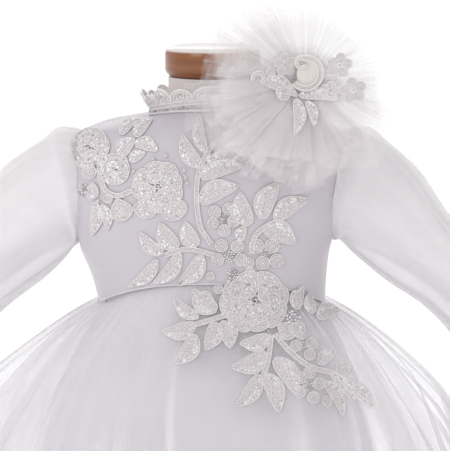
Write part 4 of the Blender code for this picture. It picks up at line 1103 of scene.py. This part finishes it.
def madeCollar():
    around = 2 * pi

    def place(x, y):
        # Across is in repeats, and up is a share of the collar's height
        angle = np.array(x / collar["repeats"] * around)
        here = collarPoint(angle, np.array(y))
        side = collarPoint(angle + 0.01, np.array(y)) - here
        above = collarPoint(angle, np.array(y + 0.01)) - here
        normal = np.cross(side, above)
        return here, normal / np.linalg.norm(normal)

    work = Needlework(place)
    for turn in range(collar["repeats"]):
        foot = [[(turn + x, y) for x in np.linspace(0, 1, 7)] for y in (0.0, 0.20, collar["scallop"])]
        work.net(foot, lift=-0.0006, kind="collarNet")
        tall = collar["scallop"] + collar["scallopSwing"] * math.sin(2.4 * turn)
        outer = [(turn + 0.5 + 0.5 * math.cos(t), 0.36 + tall * math.sin(t)) for t in np.linspace(pi, 0, 15)]
        inner = [(turn + 0.5 + 0.34 * math.cos(t), 0.38 + tall * 0.7 * math.sin(t)) for t in np.linspace(pi, 0, 13)]
        band = [[(turn + 0.5 + r * math.cos(t), 0.37 + r * 2 * tall * math.sin(t)) for t in np.linspace(pi, 0, 13)]
                for r in (0.34, 0.49)]
        work.net(band, lift=-0.0004, kind="collarNet")
        work.cord(outer, 0.00075, 0.0002)
        work.cord(inner, 0.00050, 0.0003)
        work.cord([(turn + 0.02, 0.42), (turn + 0.0, 0.33), (turn - 0.02, 0.24)], 0.0006, 0.0002)
        loop = [(turn + 0.5 + 0.15 * math.cos(t), 0.50 + 0.20 * math.sin(t)) for t in np.linspace(0, 2 * pi, 13)[:-1]]
        work.cord(loop, 0.00050, 0.0002, closed=True)
        for x in (0.36, 0.64):
            work.cord([(turn + x, 0.24), (turn + x, 0.36), (turn + 0.5 + (x - 0.5) * 0.7, 0.44)], 0.00045, 0.0002)
        for k in range(3):
            work.bead(turn + (k + 0.5) / 3, 0.03, 0.0009, "crystal" if k == 1 else "pearl", 0.0004)
        work.bead(turn + 0.5, 0.50, 0.0009, "pearl", 0.0)
    for y in (0.10, 0.27):
        work.cord([(x, y) for x in np.linspace(0, collar["repeats"], 181)[:-1]], 0.0006, 0.0002, closed=True)
    return standsFor(work.piece("collarLace"), "lace", "collar_lace")


madeCollar()
print("collar made")


# Rosette

rosette = {
    "centre": np.array((0.0690, -0.0750, 0.6670)),
    "facing": Vector((0.08, -0.99, 0.12)).normalized(),
    "radius": 0.065,
    "lopside": 0.014,
    "longSide": math.radians(230),
    "hub": 0.006,
    "bowl": math.radians(115),
    "shortPleat": 0.84,
    "longPleat": 1.16,
    "longShare": 0.2,
    "sprayFrom": 0.0075,
    "sprayLift": 0.0010,
    # reach, root, rise, fold depth, pleats, seed
    "back": ((1.12, -0.0010, -0.0080, 0.0034, 52, 11), (1.03, 0.0002, -0.0045, 0.0032, 61, 12),
             (0.96, 0.0014, -0.0010, 0.0030, 57, 13)),
    "front": ((0.98, 0.0030, 0.0080, 0.0028, 54, 14), (0.86, 0.0042, 0.0140, 0.0024, 46, 15)),
    "backFlat": (0.98, 0.12),
    "frontFlat": (0.55, 0.11),
}
facing = np.array(rosette["facing"])
up = Vector((0, 0, 1)) - rosette["facing"] * rosette["facing"].z
up.normalize()
right = np.array(up.cross(rosette["facing"]))
up = np.array(up)


def rosetteReach(turn):
    return rosette["radius"] + rosette["lopside"] * np.cos(turn - rosette["longSide"])


def swell(share):
    return np.sin(share * rosette["bowl"])


def rosetteLayer(name, reach, root, rise, fold, pleats, seed):
    # Straight uneven pleats: each runs on past the start of the next one, and then turns back under it
    chance = random.Random(seed)
    step = 2 * pi / pleats
    corners = []
    for k in range(pleats):
        start = step * (k + chance.uniform(-0.35, 0.35))
        longer = reach * chance.uniform(rosette["shortPleat"], 1.0)
        longer = longer * (rosette["longPleat"] if chance.random() < rosette["longShare"] else 1.0)
        corners.append((start, longer, -fold * chance.uniform(0.2, 1.0)))
        onward = start + step * chance.uniform(1.3, 3.2)
        corners.append((onward, longer * chance.uniform(0.94, 1.03), fold * chance.uniform(0.2, 1.0)))
    corners.append((corners[0][0] + 2 * pi, *corners[0][1:]))
    turns, ends, depths = [], [], []
    for (angle, far, deep), (nextAngle, nextFar, nextDeep) in zip(corners, corners[1:]):
        for t in (0.0, 0.2, 0.4, 0.6, 0.8):
            turn = angle + (nextAngle - angle) * t
            corner = [r * rosetteReach(a) * np.array([math.cos(a), math.sin(a)])
                      for a, r in ((angle, far), (nextAngle, nextFar))]
            turns.append(turn)
            ends.append((corner[0] + (corner[1] - corner[0]) * t) * (1 + 0.012 * chance.uniform(-1, 1)))
            depths.append(deep + (nextDeep - deep) * t)
    turns, ends, depths = np.array(turns), np.array(ends), np.array(depths)
    hub = (rosette["hub"] + 0.0006) * np.stack([np.cos(turns), np.sin(turns)], axis=1)
    rows = []
    for share in np.linspace(0, 1, 14):
        flat = hub + (ends - hub) * share
        limp = 0.0012 * share * np.sin(9 * turns + 5 * share + seed)
        depth = root + rise * swell(share) + depths * share + limp
        rows.append(rosette["centre"] + flat[:, :1] * right + flat[:, 1:] * up + depth[:, None] * facing)
    denser = np.tile(0.5 + 0.5 * np.cos(turns - rosette["longSide"]), (14, 1))
    return clothFrom(name, np.array(rows), "net", 0.0, True, False, denser=denser)


def madeRosette():
    for word in ("back", "front"):
        layers = [rosetteLayer(word + str(k), *sizes) for k, sizes in enumerate(rosette[word])]
        piece = joinPieces("rosetteTulle" + word.capitalize(), layers)
        standsFor(piece, "tulle", "rosette_tulle_" + word)

    def onRosette(x, y):
        x, y = x / 1000, y / 1000
        reach, root, rise, ruffle, _, _ = rosette["front"][-1]
        edge = rosetteReach(math.atan2(y, x)) * reach
        share = max(0.0, math.hypot(x, y) - rosette["hub"]) / (edge - rosette["hub"])
        depth = root + rise * swell(min(share, 1.3)) + (ruffle + 0.0020) * share
        depth = max(depth, rosette["sprayFrom"]) + rosette["sprayLift"]
        return rosette["centre"] + right * x + up * y + facing * depth, facing

    spray = embroidered("laceRosette", onRosette, sprays["rosette"])
    work = Needlework(onRosette)
    # A corded curl that winds in at its upper end, round a cream ribbon, and a smaller hook at the left end
    for parts, size in ((((-0.8, 5.3, 12.8, -142, 100, 24), (-4.2, 13.4, 4.6, 75, 330, 16)), 0.0008),
                        (((-37, 1.5, 5.0, -60, 200, 18),), 0.0006)):
        rings = [[], [], []]
        for x, y, radius, first, last, count in parts:
            for t in np.radians(np.linspace(first, last, count)):
                for ring, inner in zip(rings, (0.0, 1.7, 3.4)):
                    reach = max(radius - inner * min(1.0, radius / 9), 0.5)
                    ring.append((x + reach * math.cos(t), y + reach * math.sin(t)))
        work.net(rings, lift=0.0020, kind="laceDense")
        for ring in (rings[0], rings[2]):
            work.cord(ring, size, 0.0026)
        for spot in rings[1][1::2]:
            work.bead(spot[0], spot[1], 0.0007, lift=0.0026)
    ribbon = [[(1.2 + r * math.cos(t), 4.4 + 1.1 * r * math.sin(t)) for t in np.linspace(0, 2 * pi, 25)]
              for r in (8.6, 6.4, 4.0, 0.3)]
    work.net(ribbon, lift=0.0010, kind="ribbon")
    piece = joinPieces("laceRosette", [spray, work.piece("curl")])
    standsFor(piece, "lace", "lace_rosette")


madeRosette()
print("rosette made")


# Piping, placket and buttons

def madePiping(name, node, path, radius):
    path = np.asarray(path, float)
    ahead = unit(np.roll(path, -1, axis=0) - np.roll(path, 1, axis=0))
    side = unit(np.cross(ahead, (0.0, 0.0, 1.0)))
    over = np.cross(side, ahead)
    turns = 2 * pi * np.arange(10) / 10
    grid = [path + radius * (side * math.cos(t) + over * math.sin(t)) for t in turns]
    grid.append(grid[0])
    piece = clothFrom(name, np.array(grid)[::-1], "binding", 0.0, True)
    mend(outwards=True)
    return standsFor(piece, "satin", node)


trims = {
    "waistRadius": 0.0007,
    "waistOut": 0.0002,
    "waistDrop": 0.0003,
    "neckRadius": 0.0011,
    "neckClear": 0.0003,
    "placketHalfWidth": 0.007,
    "placketBend": 0.07,
    "placketLift": 0.0017,
    "placketWall": 0.0012,
    "placketFrom": 0.512,
    "placketTo": 0.6325,
    "buttons": 5,
    "buttonRadius": 0.0044,
    "buttonsFrom": 0.515,
    "buttonsTo": 0.606,
    "buttonSeat": 0.0009,
    "buttonFlat": 0.6,
}
around = 2 * pi * np.arange(240) / 240
waistLine = bodicePoint(around, waist, -trims["waistOut"])
waistLine[:, 2] -= trims["waistDrop"]
madePiping("waistPiping", "waist_piping", waistLine, trims["waistRadius"])
neckLine = bodicePoint(around, neck, trims["neckRadius"] / 2)
neckLine[:, 2] += trims["neckRadius"] + trims["neckClear"]
madePiping("neckPiping", "neck_piping", neckLine, trims["neckRadius"])


def madePlacket():
    heights = np.linspace(trims["placketFrom"], trims["placketTo"], 60)
    half = trims["placketHalfWidth"] / trims["placketBend"]
    angles = pi / 2 + np.linspace(-half, half, 13)
    points = bodicePoint(angles[None, :], heights[:, None])
    points = points + gridNormals(points, False) * trims["placketLift"]
    piece = clothFrom("backPlacket", points, "satin", trims["placketWall"])
    return standsFor(piece, "satin", "back_placket")


def madeButtons():
    for k in range(trims["buttons"]):
        height = trims["buttonsFrom"] + (trims["buttonsTo"] - trims["buttonsFrom"]) * k / (trims["buttons"] - 1)
        seat = Vector(bodicePoint(pi / 2, height, -(trims["placketLift"] + trims["buttonSeat"])))
        alone()
        bpy.ops.mesh.primitive_uv_sphere_add(segments=28, ring_count=14, radius=trims["buttonRadius"], location=seat)
        button = active()
        button.name = f"button{k + 1}"
        bpy.ops.object.mode_set(mode="EDIT")
        bpy.ops.mesh.select_all(action="SELECT")
        bpy.ops.transform.rotate(value=pi / 2, orient_axis="X", center_override=seat)
        bpy.ops.transform.resize(value=(1, trims["buttonFlat"], 1), center_override=seat)
        bpy.ops.mesh.bisect(plane_co=seat, plane_no=(0, 1, 0), clear_inner=True, use_fill=True)
        bpy.ops.object.mode_set(mode="OBJECT")
        bpy.ops.object.transform_apply(location=True, rotation=True, scale=True)
        bpy.ops.object.shade_smooth_by_angle(angle=math.radians(40))
        button.data.materials.append(finishes["pearl"])
        standsFor(button, "pearl", f"button_{k + 1}")


madePlacket()
madeButtons()
print("trims made")


# Dress form

form = {
    "capRadius": 0.0368,
    "capBottom": 0.6645,
    "capTop": 0.688,
    "capEdge": 0.0066,
    "poleRadius": 0.011,
    "poleTop": 0.3347,
    "poleEdge": 0.0008,
    "poleClear": 0.0002,
    "baseRadius": 0.120,
    "baseHeight": 0.020,
    "baseEdge": 0.005,
}


def turnedWood(name, node, radius, bottom, top, edge):
    alone()
    middle = (bottom + top) / 2
    bpy.ops.mesh.primitive_cylinder_add(vertices=96, radius=radius, depth=top - bottom, location=(0, 0, middle))
    piece = active()
    piece.name = name
    bevel = piece.modifiers.new("rounded", "BEVEL")
    bevel.width = edge
    bevel.segments = 6
    bevel.limit_method = "ANGLE"
    bpy.ops.object.modifier_apply(modifier=bevel.name)
    bpy.ops.object.transform_apply(location=True, rotation=True, scale=True)
    bpy.ops.object.shade_smooth_by_angle(angle=math.radians(30))
    piece.data.materials.append(finishes["wood"])
    return standsFor(piece, "wood", node)


turnedWood("formCap", "form_cap", form["capRadius"], form["capBottom"], form["capTop"], form["capEdge"])
poleBottom = form["baseHeight"] + form["poleClear"]
turnedWood("formPole", "form_pole", form["poleRadius"], poleBottom, form["poleTop"], form["poleEdge"])
turnedWood("formBase", "form_base", form["baseRadius"], 0.0, form["baseHeight"], form["baseEdge"])
for name, finish in (("form_torso", "jersey"), ("rosette_hub", "ribbon"), ("rosette_tab", "ribbon")):
    nodes[name].data.materials.clear()
    nodes[name].data.materials.append(finishes[finish])
print("form made")


# Studio

studio = {
    "distance": 2.0,
    "lean": math.radians(8),
    "aim": (0.0094, 0.0, 0.548),
    "pictureWidth": 0.351,
    "sensor": 36.0,
    "paperGlow": 0.28,
    "daylight": 0.79,
    # name, place, size, power
    "lights": (("softboxLeft", (-1.5, -1.7, 1.8), 1.2, 13.0), ("softboxBack", (0.0, 1.8, 1.8), 1.8, 10.0)),
}


def madeStudio():
    alone()
    bpy.ops.mesh.primitive_plane_add(size=30, location=(0, 0, -0.0005))
    floor = active()
    floor.name = "floor"
    bpy.ops.object.transform_apply(location=True, rotation=True, scale=True)
    paper = Finish("white paper", Roughness=0.9, Emission_Color=(1, 1, 1, 1), Emission_Strength=studio["paperGlow"])
    grain = paper.noise(paper.coordinates(), 40, 2)
    paper.to("Base Color", paper.shade(grain, (0.93, 0.93, 0.93), (0.96, 0.96, 0.96)))
    floor.data.materials.append(paper.material)
    for name, place, size, power in studio["lights"]:
        lamp = bpy.data.lights.new(name, "AREA")
        lamp.size = size
        lamp.energy = power
        made = bpy.data.objects.new(name, lamp)
        made.location = place
        made.rotation_euler = (Vector((0, 0, 0.5)) - Vector(place)).to_track_quat("-Z", "Y").to_euler()
        bpy.context.scene.collection.objects.link(made)
    world = bpy.data.worlds.new("studio")
    world.use_nodes = True
    world.node_tree.nodes["Background"].inputs[0].default_value = (1, 1, 1, 1)
    world.node_tree.nodes["Background"].inputs[1].default_value = studio["daylight"]
    bpy.context.scene.world = world
    lens = bpy.data.cameras.new("camera")
    lens.sensor_width = studio["sensor"]
    lens.lens = studio["sensor"] * studio["distance"] / studio["pictureWidth"]
    lens.clip_start = 0.05
    camera = bpy.data.objects.new("camera", lens)
    aim = Vector(studio["aim"])
    back = Vector((0, -math.cos(studio["lean"]), math.sin(studio["lean"])))
    camera.location = aim + back * studio["distance"]
    camera.rotation_euler = (-back).to_track_quat("-Z", "Y").to_euler()
    bpy.context.scene.collection.objects.link(camera)
    bpy.context.scene.camera = camera
    bpy.context.scene.view_settings.view_transform = "Standard"
    bpy.context.scene.cycles.transparent_max_bounces = 24


madeStudio()
alone()
print("studio made")
